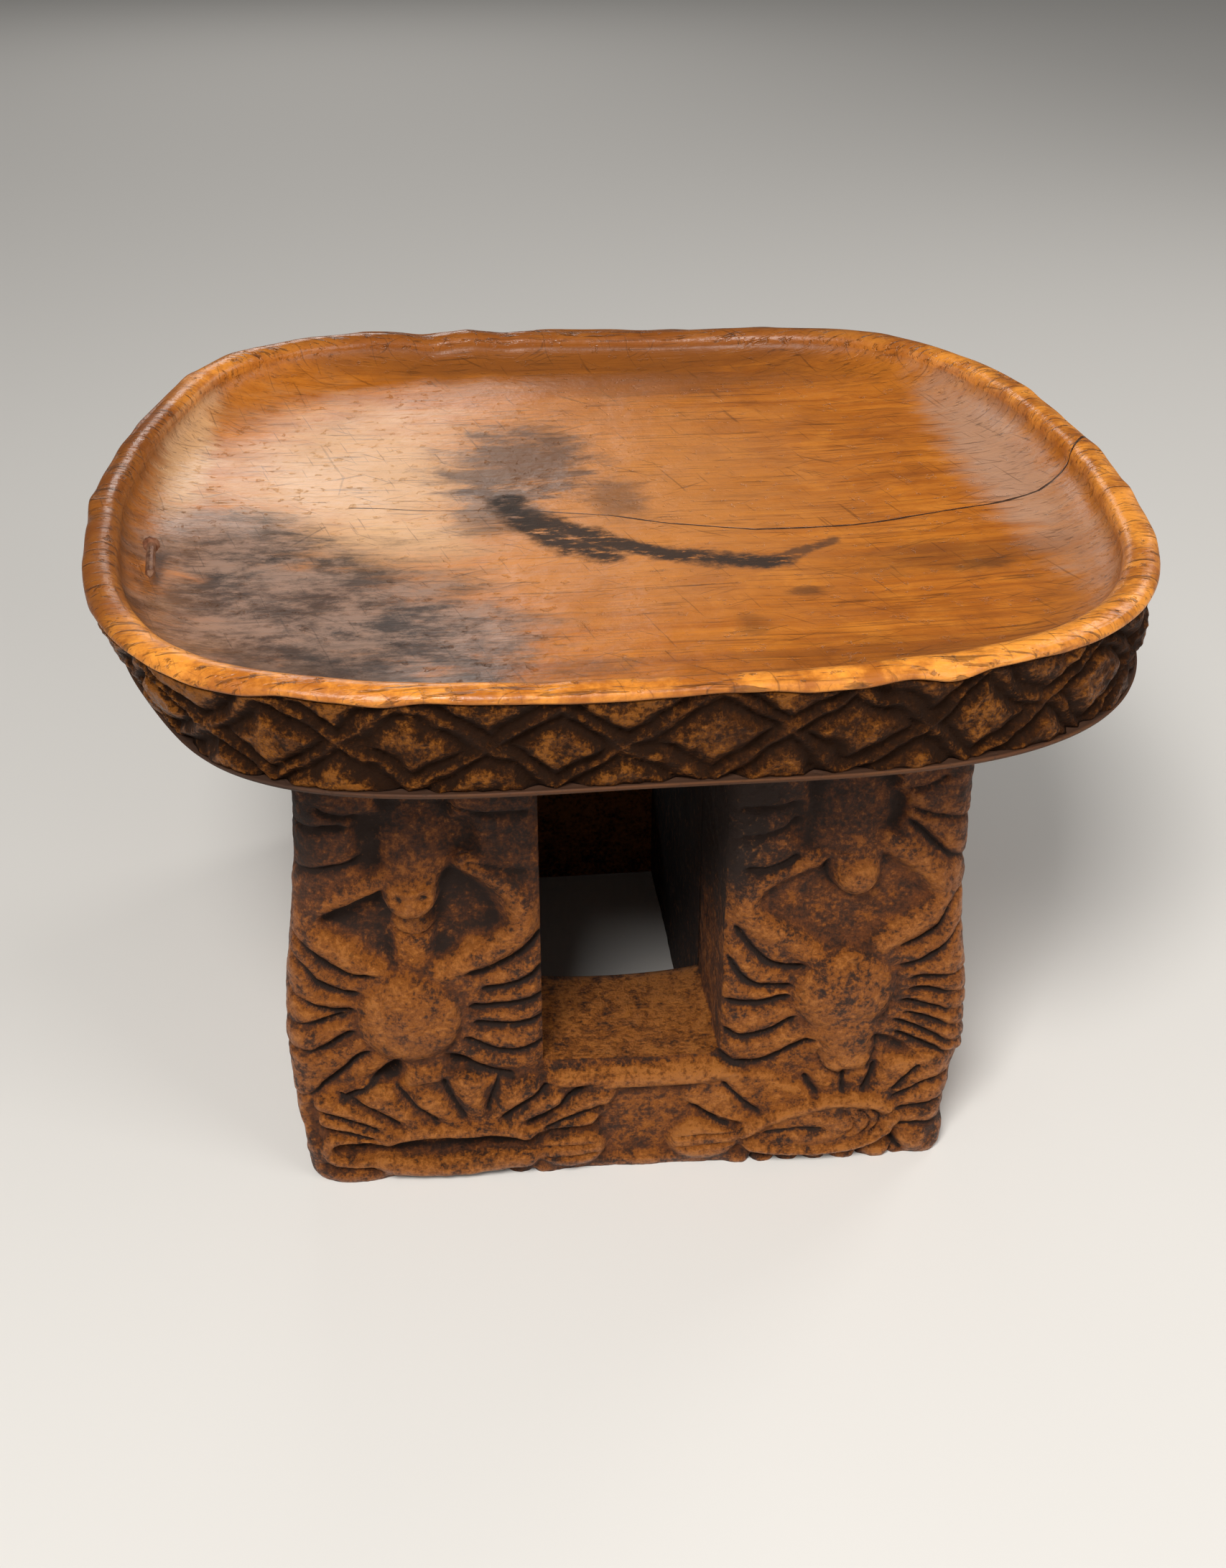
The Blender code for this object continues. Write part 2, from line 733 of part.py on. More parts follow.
root = make_empty("stool_frame")
make_seat(root)
make_lattice(root)
make_nail(root)

base = make_empty("base_frame", root, (BASE_SHIFT, 0.0, 0.0))
make_side_wall("left_side_wall", base, -1)
make_side_wall("right_side_wall", base, 1)

# The rear face is the front face turned half round, so its own right is the stool's left
for face_name, turn, names in (("front", 0.0, {-1: "left", 1: "right"}),
                               ("rear", math.pi, {1: "left", -1: "right"})):
    face = make_empty(face_name + "_face", base, turn=turn)
    make_sill(face_name + "_sill", face)
    for side, side_name in names.items():
        stem = face_name + "_" + side_name + "_"
        make_post(stem + "post", face, side)
        make_head(stem + "head", face, side)
        make_body(stem + "body", face, side)
        make_creature(stem + "creature", face, side)
        make_leaves(stem + "leaves", face, side)
        for outward, place in ((1, "outer"), (-1, "inner")):
            make_foreleg(stem + place + "_foreleg", face, side, outward)
            make_legs(stem + place + "_legs", face, side, outward)
            make_bands(stem + place + "_bands", face, side, outward)

bpy.context.view_layer.update()
for obj in stool.objects:
    if obj.type == "MESH":
        print(obj.name, len(obj.data.polygons), "faces")
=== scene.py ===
# %% [markdown]
# # A carved Grassfields stool
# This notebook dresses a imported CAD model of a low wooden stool. The real stool was cut from one block:
# a dished seat with a band of lozenges round its side, on a hollow base whose front and back carry
# spider-like figures in deep relief. The CAD model gives the sizes and the places of all members. Here
# each member gets its carved surface, its worn wood, and a light to look at it in.

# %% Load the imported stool
import math

import bmesh
import bpy
import numpy as np
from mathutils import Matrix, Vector


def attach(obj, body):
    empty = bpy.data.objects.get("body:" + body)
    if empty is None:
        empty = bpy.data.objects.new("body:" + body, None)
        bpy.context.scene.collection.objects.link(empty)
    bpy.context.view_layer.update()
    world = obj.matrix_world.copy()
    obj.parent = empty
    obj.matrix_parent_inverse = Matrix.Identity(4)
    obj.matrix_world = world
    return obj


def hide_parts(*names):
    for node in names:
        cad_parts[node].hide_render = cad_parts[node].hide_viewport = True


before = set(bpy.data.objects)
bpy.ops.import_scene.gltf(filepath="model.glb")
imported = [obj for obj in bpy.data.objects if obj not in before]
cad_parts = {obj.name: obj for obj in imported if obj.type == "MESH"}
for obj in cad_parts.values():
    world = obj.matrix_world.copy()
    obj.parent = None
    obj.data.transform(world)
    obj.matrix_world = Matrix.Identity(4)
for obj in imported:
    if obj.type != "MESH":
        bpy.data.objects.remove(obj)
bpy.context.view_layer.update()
scene = bpy.context.scene
scene.view_settings.view_transform = "Standard"

# %% [markdown]
# ## Camera
# The photographer stood a little to the left and looked down at about thirty degrees. A camera fitted to
# the seat's outline gives the place and the lens.

# %% Camera
CAMERA_PLACE = (-0.0917, -0.8897, 0.6454)
CAMERA_TURN = (math.radians(59.7), 0.0, math.radians(-6.1))
CAMERA_LENS = 42.86
SENSOR_WIDTH = 36.0
camera_data = bpy.data.cameras.new("camera")
camera_data.lens = CAMERA_LENS
camera_data.sensor_width = SENSOR_WIDTH
camera = bpy.data.objects.new("camera", camera_data)
camera.location = CAMERA_PLACE
camera.rotation_euler = CAMERA_TURN
scene.collection.objects.link(camera)
scene.camera = camera
print("camera at", CAMERA_PLACE)

# %% [markdown]
# ## Node helpers
# Every finish below is a tree of shader nodes. It could be wired by hand in the shader editor, but a script
# needs several lines for each node. So a few short helpers add a node, link its inputs and hand back its
# output, and a finish reads like a formula.


# %% Maths nodes
def add_node(tree, kind, **settings):
    """Add a node to a tree and set its properties."""
    node = tree.nodes.new(kind)
    for name, value in settings.items():
        setattr(node, name, value)
    return node


def feed(tree, source, socket):
    """Link a socket to an input, or write a plain value into it."""
    if isinstance(source, bpy.types.NodeSocket):
        tree.links.new(source, socket)
    else:
        socket.default_value = source


def calc(tree, operation, a, b=0.0, clamp=False):
    """A Math node on sockets or numbers."""
    node = add_node(tree, "ShaderNodeMath", operation=operation, use_clamp=clamp)
    feed(tree, a, node.inputs[0])
    feed(tree, b, node.inputs[1])
    return node.outputs[0]


def short_form(operation):
    """A shorter call of calc for one operation on two numbers."""
    def of_two(tree, a, b, clamp=False):
        return calc(tree, operation, a, b, clamp)
    return of_two


plus = short_form("ADD")
minus = short_form("SUBTRACT")
times = short_form("MULTIPLY")
most = short_form("MAXIMUM")
print("maths nodes ready")


# %% Masks and colours
def fade(tree, value, low, high, to_low=0.0, to_high=1.0):
    """A smooth step of a value between two limits."""
    node = add_node(tree, "ShaderNodeMapRange", interpolation_type="SMOOTHSTEP")
    feed(tree, value, node.inputs["Value"])
    for name, number in (("From Min", low), ("From Max", high), ("To Min", to_low), ("To Max", to_high)):
        feed(tree, number, node.inputs[name])
    return node.outputs["Result"]


def blend_colour(tree, factor, first, second, kind="MIX"):
    """Mix two colours by a mask."""
    node = add_node(tree, "ShaderNodeMix", data_type="RGBA", blend_type=kind)
    feed(tree, factor, node.inputs[0])
    for source, socket in ((first, node.inputs[6]), (second, node.inputs[7])):
        feed(tree, source, socket)
    return node.outputs[2]


def paint_over(tree, colour, mask, strength, paint):
    """Lay a colour over another where a mask is on."""
    return blend_colour(tree, times(tree, mask, strength), colour, paint)


print("masks and colours ready")


# %% Texture and material nodes
def noise(tree, vector, scale, detail=4.0, roughness=0.6, distortion=0.0):
    """A noise texture's value on a vector."""
    node = add_node(tree, "ShaderNodeTexNoise")
    feed(tree, vector, node.inputs["Vector"])
    node.inputs["Scale"].default_value = scale
    node.inputs["Detail"].default_value = detail
    node.inputs["Roughness"].default_value = roughness
    node.inputs["Distortion"].default_value = distortion
    return node.outputs["Fac"]


def stretch(tree, vector, scale, turn=0.0):
    """Turn a vector about Z, then scale it."""
    if turn:
        node = add_node(tree, "ShaderNodeMapping")
        feed(tree, vector, node.inputs["Vector"])
        node.inputs["Rotation"].default_value = (0.0, 0.0, turn)
        vector = node.outputs["Vector"]
    node = add_node(tree, "ShaderNodeMapping")
    feed(tree, vector, node.inputs["Vector"])
    node.inputs["Scale"].default_value = scale
    return node.outputs["Vector"]


def start_material(name):
    """An empty material with a Principled shader and object coordinates."""
    material = bpy.data.materials.new(name)
    material.use_nodes = True
    tree = material.node_tree
    shader = tree.nodes["Principled BSDF"]
    place = add_node(tree, "ShaderNodeTexCoord").outputs["Object"]
    return material, tree, shader, place


def attribute(tree, name):
    """A number stored on the points of the mesh."""
    return add_node(tree, "ShaderNodeAttribute", attribute_name=name).outputs["Fac"]


def bump(tree, shader, height, distance, strength=1.0):
    """Feed a height into the shader's normal."""
    node = add_node(tree, "ShaderNodeBump")
    feed(tree, height, node.inputs["Height"])
    node.inputs["Distance"].default_value = distance
    node.inputs["Strength"].default_value = strength
    tree.links.new(node.outputs["Normal"], shader.inputs["Normal"])


print("texture and material nodes ready")

# %% [markdown]
# ## Floor and light
# The floor is a wide plain sheet on which the stool throws its shadow. A large soft lamp lights the stool
# from the front and above, a weaker one from the right, and two behind put a shine on the rim, on the walls
# of the dish and on its left half. The sky is bright in front and dim behind, so that the polished dish
# stays deep brown.

# %% Floor
FLOOR_CORNERS = ((-6, -6, 0), (6, -6, 0), (6, 9, 0), (-6, 9, 0))
FLOOR_GREY = (0.66, 0.65, 0.63, 1.0)
floor_mesh = bpy.data.meshes.new("floor")
floor_mesh.from_pydata(FLOOR_CORNERS, [], [(0, 1, 2, 3)])
floor = bpy.data.objects.new("floor", floor_mesh)
scene.collection.objects.link(floor)
floor_material, tree, shader, place = start_material("pale_floor")
shader.inputs["Base Color"].default_value = FLOOR_GREY
shader.inputs["Roughness"].default_value = 0.8
floor_mesh.materials.append(floor_material)
print("floor corners:", FLOOR_CORNERS)

# %% Sky and lamps
SKY_FRONT = (1.0, 0.98, 0.95, 1.0)
SKY_BACK = (0.15, 0.15, 0.15, 1.0)
SKY_STRENGTH = 0.32
world = bpy.data.worlds.new("studio")
world.use_nodes = True
tree = world.node_tree
direction = add_node(tree, "ShaderNodeSeparateXYZ")
tree.links.new(add_node(tree, "ShaderNodeTexCoord").outputs["Generated"], direction.inputs[0])
behind = fade(tree, direction.outputs["Y"], -0.5, 0.5)
sky = blend_colour(tree, behind, SKY_FRONT, SKY_BACK)
feed(tree, sky, tree.nodes["Background"].inputs["Color"])
tree.nodes["Background"].inputs["Strength"].default_value = SKY_STRENGTH
scene.world = world


def soft_lamp(name, place, aim, size, power, colour=(1.0, 0.97, 0.93)):
    """A square area lamp that looks at a point."""
    data = bpy.data.lights.new(name, "AREA")
    data.shape = "SQUARE"
    data.size = size
    data.energy = power
    data.color = colour
    lamp = bpy.data.objects.new(name, data)
    lamp.location = place
    lamp.rotation_euler = (Vector(aim) - Vector(place)).to_track_quat("-Z", "Y").to_euler()
    scene.collection.objects.link(lamp)
    return lamp


soft_lamp("key", (-0.7, -1.8, 2.3), (0.0, 0.0, 0.2), 0.9, 92.0)
soft_lamp("fill", (1.6, -1.5, 1.1), (0.0, 0.0, 0.12), 1.2, 19.0)
soft_lamp("back", (-0.28, 3.7, 1.68), (-0.1, 0.0, 0.29), 0.9, 11.5)
soft_lamp("back_right", (1.5, 1.1, 1.5), (0.0, 0.0, 0.3), 0.7, 8.0)

# %% [markdown]
# ## Wood finishes
# All of the wood is the same dark brown timber, but use has changed it. The seat is polished and amber,
# the lip is worn orange, the lozenge band is dark with worn high points, and the carved base is matt and
# crusted, dark in the grooves and tan where hands rub it. Two effects are shared, so each is a node group:
# fibres that run along the grain, and a fine crust of pits and specks.


# %% Shared shader groups
def start_group(name, inputs, outputs):
    """A shader node group with named sockets."""
    group = bpy.data.node_groups.new(name, "ShaderNodeTree")
    for label, kind, value in inputs:
        socket = group.interface.new_socket(label, in_out="INPUT", socket_type=kind)
        if value is not None:
            socket.default_value = value
    for label, kind in outputs:
        group.interface.new_socket(label, in_out="OUTPUT", socket_type=kind)
    return group, add_node(group, "NodeGroupInput"), add_node(group, "NodeGroupOutput")


def scaled_place(group, enter, label):
    """The place that enters a group, times one of its inputs."""
    node = add_node(group, "ShaderNodeVectorMath", operation="SCALE")
    group.links.new(enter.outputs["Place"], node.inputs[0])
    group.links.new(enter.outputs[label], node.inputs["Scale"])
    return node.outputs["Vector"]


fibres, enter, leave = start_group(
    "wood_fibres",
    (("Place", "NodeSocketVector", None), ("Fineness", "NodeSocketFloat", 1.0)),
    (("Streaks", "NodeSocketFloat"), ("Fibres", "NodeSocketFloat"), ("Clouds", "NodeSocketFloat")))
spread = scaled_place(fibres, enter, "Fineness")
along = stretch(fibres, spread, (5.0, 105.0, 105.0))
fine = stretch(fibres, spread, (9.0, 420.0, 420.0))
feed(fibres, noise(fibres, along, 1.0, 7.0, 0.70, 0.6), leave.inputs["Streaks"])
feed(fibres, noise(fibres, fine, 1.0, 3.0, 0.6, 0.3), leave.inputs["Fibres"])
feed(fibres, noise(fibres, spread, 11.0, 5.0, 0.6), leave.inputs["Clouds"])

crust, enter, leave = start_group(
    "crust_and_specks",
    (("Place", "NodeSocketVector", None), ("Size", "NodeSocketFloat", 1.0)),
    (("Specks", "NodeSocketFloat"), ("Pits", "NodeSocketFloat"), ("Grit", "NodeSocketFloat")))
spread = scaled_place(crust, enter, "Size")
feed(crust, noise(crust, spread, 260.0, 3.0, 0.65), leave.inputs["Grit"])
feed(crust, fade(crust, noise(crust, spread, 420.0, 2.0, 0.5), 0.60, 0.72), leave.inputs["Specks"])
feed(crust, fade(crust, noise(crust, spread, 150.0, 4.0, 0.6), 0.60, 0.70), leave.inputs["Pits"])
print("groups:", fibres.name, crust.name)

# %% [markdown]
# ## Marks on the seat
# The seat has two kinds of marks: patches with a torn edge, used for stains and for painted glare, and thin
# dark lines such as cracks and scratches. Each kind is a node group that gives a mask. A patch measures how
# far a point lies from its middle, a line how far a point lies from a straight stretch, and noise makes both
# uneven.


# %% Groups for marks on the seat
def vector(tree, operation, a, b=None):
    """A Vector Math node on one or two sockets."""
    node = add_node(tree, "ShaderNodeVectorMath", operation=operation)
    tree.links.new(a, node.inputs[0])
    if b is not None:
        tree.links.new(b, node.inputs[1])
    return node.outputs["Value"] if operation in ("DOT_PRODUCT", "LENGTH") else node.outputs["Vector"]


stain_and_glare, enter, leave = start_group(
    "ragged_stain_and_glare",
    (("Place", "NodeSocketVector", None), ("Centre", "NodeSocketVector", None),
     ("Size", "NodeSocketVector", None), ("Ragged", "NodeSocketFloat", 0.6),
     ("Soft", "NodeSocketFloat", 0.3)),
    (("Mask", "NodeSocketFloat"),))
away = vector(stain_and_glare, "SUBTRACT", enter.outputs["Place"], enter.outputs["Centre"])
reach = vector(stain_and_glare, "LENGTH", vector(stain_and_glare, "DIVIDE", away, enter.outputs["Size"]))
torn = noise(stain_and_glare, stretch(stain_and_glare, enter.outputs["Place"], (24.0, 58.0, 24.0)), 1.0, 9.0, 0.76, 0.4)
torn = times(stain_and_glare, minus(stain_and_glare, torn, 0.5), enter.outputs["Ragged"])
far = plus(stain_and_glare, reach, times(stain_and_glare, torn, 4.0))
low = minus(stain_and_glare, 1.0, enter.outputs["Soft"])
high = plus(stain_and_glare, 1.0, enter.outputs["Soft"])
feed(stain_and_glare, fade(stain_and_glare, far, low, high, 1.0, 0.0), leave.inputs["Mask"])

stroke, enter, leave = start_group(
    "dark_stroke",
    (("Place", "NodeSocketVector", None), ("From", "NodeSocketVector", None),
     ("To", "NodeSocketVector", None), ("Width", "NodeSocketFloat", 0.001),
     ("Waver", "NodeSocketFloat", 0.002)),
    (("Mask", "NodeSocketFloat"),))
flat = stretch(stroke, enter.outputs["Place"], (1.0, 1.0, 0.0))
run_of = vector(stroke, "SUBTRACT", enter.outputs["To"], enter.outputs["From"])
off = vector(stroke, "SUBTRACT", flat, enter.outputs["From"])
along = calc(stroke, "DIVIDE", vector(stroke, "DOT_PRODUCT", off, run_of),
             vector(stroke, "DOT_PRODUCT", run_of, run_of), clamp=True)
back = add_node(stroke, "ShaderNodeVectorMath", operation="SCALE")
stroke.links.new(run_of, back.inputs[0])
stroke.links.new(along, back.inputs["Scale"])
gap = vector(stroke, "LENGTH", vector(stroke, "SUBTRACT", off, back.outputs[0]))
shake = minus(stroke, noise(stroke, flat, 55.0, 6.0, 0.7), 0.5)
gap = plus(stroke, gap, times(stroke, shake, enter.outputs["Waver"]))
thin = times(stroke, enter.outputs["Width"], 0.3)
feed(stroke, fade(stroke, gap, thin, enter.outputs["Width"], 1.0, 0.0), leave.inputs["Mask"])
print("mark groups:", stain_and_glare.name, stroke.name)

# %% [markdown]
# ## Carved wood
# The base and the lozenge band are carved, and dirt has settled in the cuts. The meshes below store two
# numbers on each point: how worn it is, with painted light added in places, and how deep and dirty it is,
# with painted shade added in places. This finish turns them into colour: dark in the grooves and under
# painted shade, brown on the ground, tan and bright on what hands rub and under painted light. Noise shifts
# the limits, so no edge is clean.


# %% Place a group in a material
def use_group(tree, group, place, **values):
    """A node group in a material, with its own values."""
    node = add_node(tree, "ShaderNodeGroup", node_tree=group)
    feed(tree, place, node.inputs["Place"])
    for name, value in values.items():
        feed(tree, value, node.inputs[name])
    return node.outputs


print("groups can be placed in a material")

# %% Carved wood
CARVED_BUMP = 0.0016
GROOVE_DULLNESS = 0.30


def carved_finish(name, ground, worn_colour, bright, groove_and_shade_colour, roughness, specular, mottling):
    """Matt carved wood: tan on the high points and under painted light, dark in the grooves and under
    painted shade, mottled and speckled with crust.
    """
    material, tree, shader, place = start_material(name)
    grain = use_group(tree, fibres, place, Fineness=1.0)
    dirt = use_group(tree, crust, place, Size=1.0)
    worn = attribute(tree, "worn")
    deep = attribute(tree, "deep")
    uneven = 0.0
    for texture, share in (
        (grain["Clouds"], 0.9),
        (noise(tree, place, 110.0, 5.0, 0.68), 1.7),
        (noise(tree, place, 420.0, 6.0, 0.76), 2.1),
        (grain["Fibres"], 0.30),
    ):
        uneven = plus(tree, times(tree, minus(tree, texture, 0.5), share * mottling), uneven)
    high = plus(tree, worn, uneven)
    dusky = blend_colour(tree, fade(tree, uneven, -0.7, 0.5), groove_and_shade_colour, ground)
    colour = blend_colour(tree, fade(tree, high, 0.30, 0.74), dusky, worn_colour)
    colour = blend_colour(tree, fade(tree, high, 0.74, 1.20, 0.0, 0.85), colour, bright)
    colour = blend_colour(tree, fade(tree, uneven, 0.15, -0.45, 0.0, 0.5), colour, dusky)
    low = minus(tree, deep, times(tree, uneven, 0.55))
    # painted shade is laid on here too: the dark number brings it from the meshes
    colour = blend_colour(tree, fade(tree, low, 0.15, 0.85), colour, groove_and_shade_colour)
    colour = paint_over(tree, colour, dirt["Pits"], 0.40, groove_and_shade_colour)
    colour = paint_over(tree, colour, dirt["Specks"], fade(tree, high, 0.2, 0.9, 0.03, 0.25), bright)
    feed(tree, colour, shader.inputs["Base Color"])
    matt = fade(tree, high, 0.2, 1.0, roughness + 0.14, roughness - 0.10)
    matt = plus(tree, matt, times(tree, deep, GROOVE_DULLNESS))
    feed(tree, matt, shader.inputs["Roughness"])
    shader.inputs["Specular IOR Level"].default_value = specular
    height = plus(tree, times(tree, dirt["Grit"], 0.8), times(tree, dirt["Pits"], -0.7))
    height = plus(tree, height, times(tree, uneven, 1.3))
    bump(tree, shader, height, CARVED_BUMP)
    return material


print("carved finish ready, with a bump of", CARVED_BUMP * 1000, "mm")

# %% Wood of the base and of the band
figure_wood = carved_finish(
    "figure_wood", ground=(0.220, 0.058, 0.0070, 1.0), worn_colour=(0.365, 0.108, 0.0120, 1.0),
    bright=(0.60, 0.215, 0.042, 1.0), groove_and_shade_colour=(0.026, 0.0085, 0.0025, 1.0),
    roughness=0.41, specular=0.40, mottling=1.20)
lattice_wood = carved_finish(
    "lattice_wood", ground=(0.098, 0.029, 0.0045, 1.0), worn_colour=(0.185, 0.057, 0.0080, 1.0),
    bright=(0.40, 0.138, 0.022, 1.0), groove_and_shade_colour=(0.032, 0.0105, 0.0022, 1.0),
    roughness=0.36, specular=0.13, mottling=1.6)
print("carved finishes:", figure_wood.name, lattice_wood.name)

# %% [markdown]
# ## Seat finish: amber wood
# Sitters have polished the dish to an amber brown. The colour is laid on in layers, as a painter would do
# it: streaks along the grain first, then dark clouds, light and dark patches, and dark fibres. All are
# noise, most of it stretched along the grain. A picture of wood would repeat, and it would smear on the lip.

# %% Seat finish: amber wood
AMBER_DARK = (0.35, 0.094, 0.0070, 1.0)
AMBER_LIGHT = (0.53, 0.167, 0.0145, 1.0)
seat_wood, tree, shader, place = start_material("seat_wood")
grain = use_group(tree, fibres, place, Fineness=1.0)
dirt = use_group(tree, crust, place, Size=1.0)
lip = attribute(tree, "worn")
deep = attribute(tree, "deep")
patches = noise(tree, place, 34.0, 7.0, 0.72)
amber = blend_colour(tree, fade(tree, grain["Streaks"], 0.30, 0.70), AMBER_DARK, AMBER_LIGHT)
for texture, low, high, strength, paint in (
    (grain["Clouds"], 0.48, 0.75, 0.55, (0.23, 0.064, 0.0090, 1.0)),
    (patches, 0.50, 0.68, 0.55, (0.62, 0.215, 0.0230, 1.0)),
    (patches, 0.50, 0.32, 0.55, (0.24, 0.062, 0.0060, 1.0)),
    (grain["Fibres"], 0.50, 0.70, 0.45, (0.15, 0.042, 0.0070, 1.0)),
):
    amber = blend_colour(tree, fade(tree, texture, low, high, 0.0, strength), amber, paint)
print("amber wood:", len(tree.nodes), "nodes")

# %% [markdown]
# ## Seat finish: stains and painted glare
# Use has stained the dish: it is dark below the back rim, grey near the middle and smoked and charred at
# the front left. Pale patches on its left half and on the left wall are a painted reflection of a lamp, and
# a greyish patch on the right wall is a painted sheen. Each stain and painted patch is an oval with a torn
# edge, so one group serves for all of them. Places and sizes are in metres, seen from above.

# %% Seat finish: stains and painted glare
STAIN_HEIGHT = 0.290
# the pale colour is a painted reflection of a lamp and the sheen colour a painted sheen; the rest are stains
PAINTED_GLARE = (0.70, 0.44, 0.235, 1.0)
TAN = (0.56, 0.225, 0.058, 1.0)
GREY = (0.085, 0.036, 0.0150, 1.0)
SOOT = (0.018, 0.012, 0.009, 1.0)
SMOKE = (0.26, 0.160, 0.114, 1.0)
PAINTED_SHEEN = (0.47, 0.310, 0.225, 1.0)
DARK = (0.14, 0.042, 0.0085, 1.0)
CHARRED = (0.028, 0.018, 0.014, 1.0)


def stain_and_glare_mask(centre, size, ragged, soft):
    """The mask of one patch with a torn edge, used for stains and for painted glare and sheen."""
    outputs = use_group(tree, stain_and_glare, place, Centre=(*centre, STAIN_HEIGHT), Size=(*size, 1.0),
                        Ragged=ragged, Soft=soft)
    return outputs["Mask"]


mottled = noise(tree, stretch(tree, place, (30.0, 48.0, 30.0)), 1.0, 9.0, 0.80)
smoke = blend_colour(tree, fade(tree, mottled, 0.40, 0.60), CHARRED, SMOKE)
for paint, strength, centre, size, ragged, soft in (
    (TAN, 0.75, (-0.030, 0.020), (0.130, 0.150), 0.35, 0.7),
    # the pale rows paint a reflection of a lamp on the dish and the left wall; the sheen row paints one on
    # the right wall
    (PAINTED_GLARE, 0.62, (-0.128, 0.045), (0.062, 0.100), 0.50, 0.7),
    (PAINTED_GLARE, 0.40, (-0.105, -0.035), (0.034, 0.030), 0.50, 0.6),
    (DARK, 0.70, (0.000, 0.226), (0.215, 0.020), 0.35, 0.6),
    (DARK, 0.60, (0.050, 0.190), (0.110, 0.020), 0.55, 0.8),
    (DARK, 0.60, (-0.226, 0.130), (0.020, 0.110), 0.35, 0.6),
    (PAINTED_GLARE, 0.80, (-0.217, 0.085), (0.012, 0.100), 0.60, 0.6),
    (PAINTED_SHEEN, 0.72, (0.214, 0.030), (0.020, 0.140), 0.60, 0.6),
    (DARK, 0.50, (0.165, -0.085), (0.050, 0.018), 0.55, 0.7),
    (DARK, 0.45, (0.150, -0.190), (0.100, 0.020), 0.45, 0.7),
    (GREY, 0.86, (-0.042, 0.066), (0.040, 0.050), 0.95, 0.45),
    (GREY, 0.75, (-0.058, 0.000), (0.024, 0.034), 0.90, 0.5),
    (GREY, 0.60, (0.006, 0.012), (0.014, 0.026), 0.80, 0.5),
    (SOOT, 0.60, (0.083, -0.114), (0.009, 0.006), 1.4, 0.6),
    (SOOT, 0.35, (0.048, -0.150), (0.006, 0.009), 1.4, 0.7),
    (SOOT, 0.45, (0.168, -0.096), (0.016, 0.005), 1.2, 0.6),
    (smoke, 0.92, (-0.155, -0.118), (0.080, 0.076), 0.55, 0.40),
    (smoke, 0.85, (-0.192, -0.035), (0.044, 0.044), 0.60, 0.45),
    (smoke, 0.80, (-0.092, -0.148), (0.046, 0.038), 0.65, 0.45),
    (smoke, 0.85, (-0.140, -0.200), (0.085, 0.034), 0.50, 0.45),
    (CHARRED, 0.60, (-0.150, -0.200), (0.100, 0.036), 0.70, 0.60),
):
    mask = stain_and_glare_mask(centre, size, ragged, soft)
    amber = paint_over(tree, amber, mask, strength, paint)
sooty = stain_and_glare_mask((-0.155, -0.110), (0.090, 0.085), 0.55, 0.40)
print("stained wood:", len(tree.nodes), "nodes")

# %% [markdown]
# ## Seat finish: lip, burn and cracks
# The lip is worn orange in front and darker on the left and at the back. Something hot left an arc of soot
# in the dish, and the wood has split from the middle to the right rim. Lines like these are drawn as chains
# of straight stretches through places seen from above.

# %% Places of the burn, the cracks and the scratches
LIP_BRIGHT = (0.84, 0.315, 0.042, 1.0)
LIP_BROWN = (0.40, 0.120, 0.0140, 1.0)
LIP_FAR = (0.19, 0.055, 0.0090, 1.0)
CRACK = (0.030, 0.012, 0.005, 1.0)
BURN_START = ((-0.051, 0.015), (-0.043, -0.012), (-0.034, -0.031), (-0.022, -0.050), (-0.006, -0.061))
BURN_MIDDLE = ((-0.038, -0.012), (-0.020, -0.030), (0.000, -0.050), (0.022, -0.064), (0.054, -0.075),
               (0.072, -0.077))
BURN_END = ((0.066, -0.080), (0.082, -0.071), (0.096, -0.062), (0.105, -0.056))
MAIN_CRACK = ((0.000, -0.010), (0.029, -0.026), (0.070, -0.037), (0.120, -0.037), (0.192, -0.025),
              (0.221, -0.016), (0.240, -0.003), (0.262, 0.022))
FINE_CRACK = ((-0.130, 0.010), (-0.089, 0.005), (-0.039, 0.000), (0.000, -0.010))
# strength, width and waver of each scratch, and the places it runs through
SCRATCHES = (
    (0.28, 0.0007, 0.0030, ((-0.147, 0.101), (-0.138, 0.066), (-0.134, 0.052), (-0.136, 0.027))),
    (0.45, 0.0008, 0.0030, ((-0.142, -0.015), (-0.158, -0.040))),
    (0.45, 0.0008, 0.0030, ((-0.150, -0.020), (-0.176, -0.034))),
    (0.40, 0.0010, 0.0040, ((-0.060, -0.104), (0.050, -0.104))),
)
print("cracks: 2, scratches:", len(SCRATCHES))


# %% Seat finish: lip, burn and cracks
def stroke_mask(width, waver, places):
    """The mask of a wavering line through places."""
    total = 0.0
    for start, end in zip(places, places[1:]):
        outputs = use_group(tree, stroke, place, From=(*start, 0.0), To=(*end, 0.0),
                            Width=width, Waver=waver)
        total = most(tree, outputs["Mask"], total)
    return total


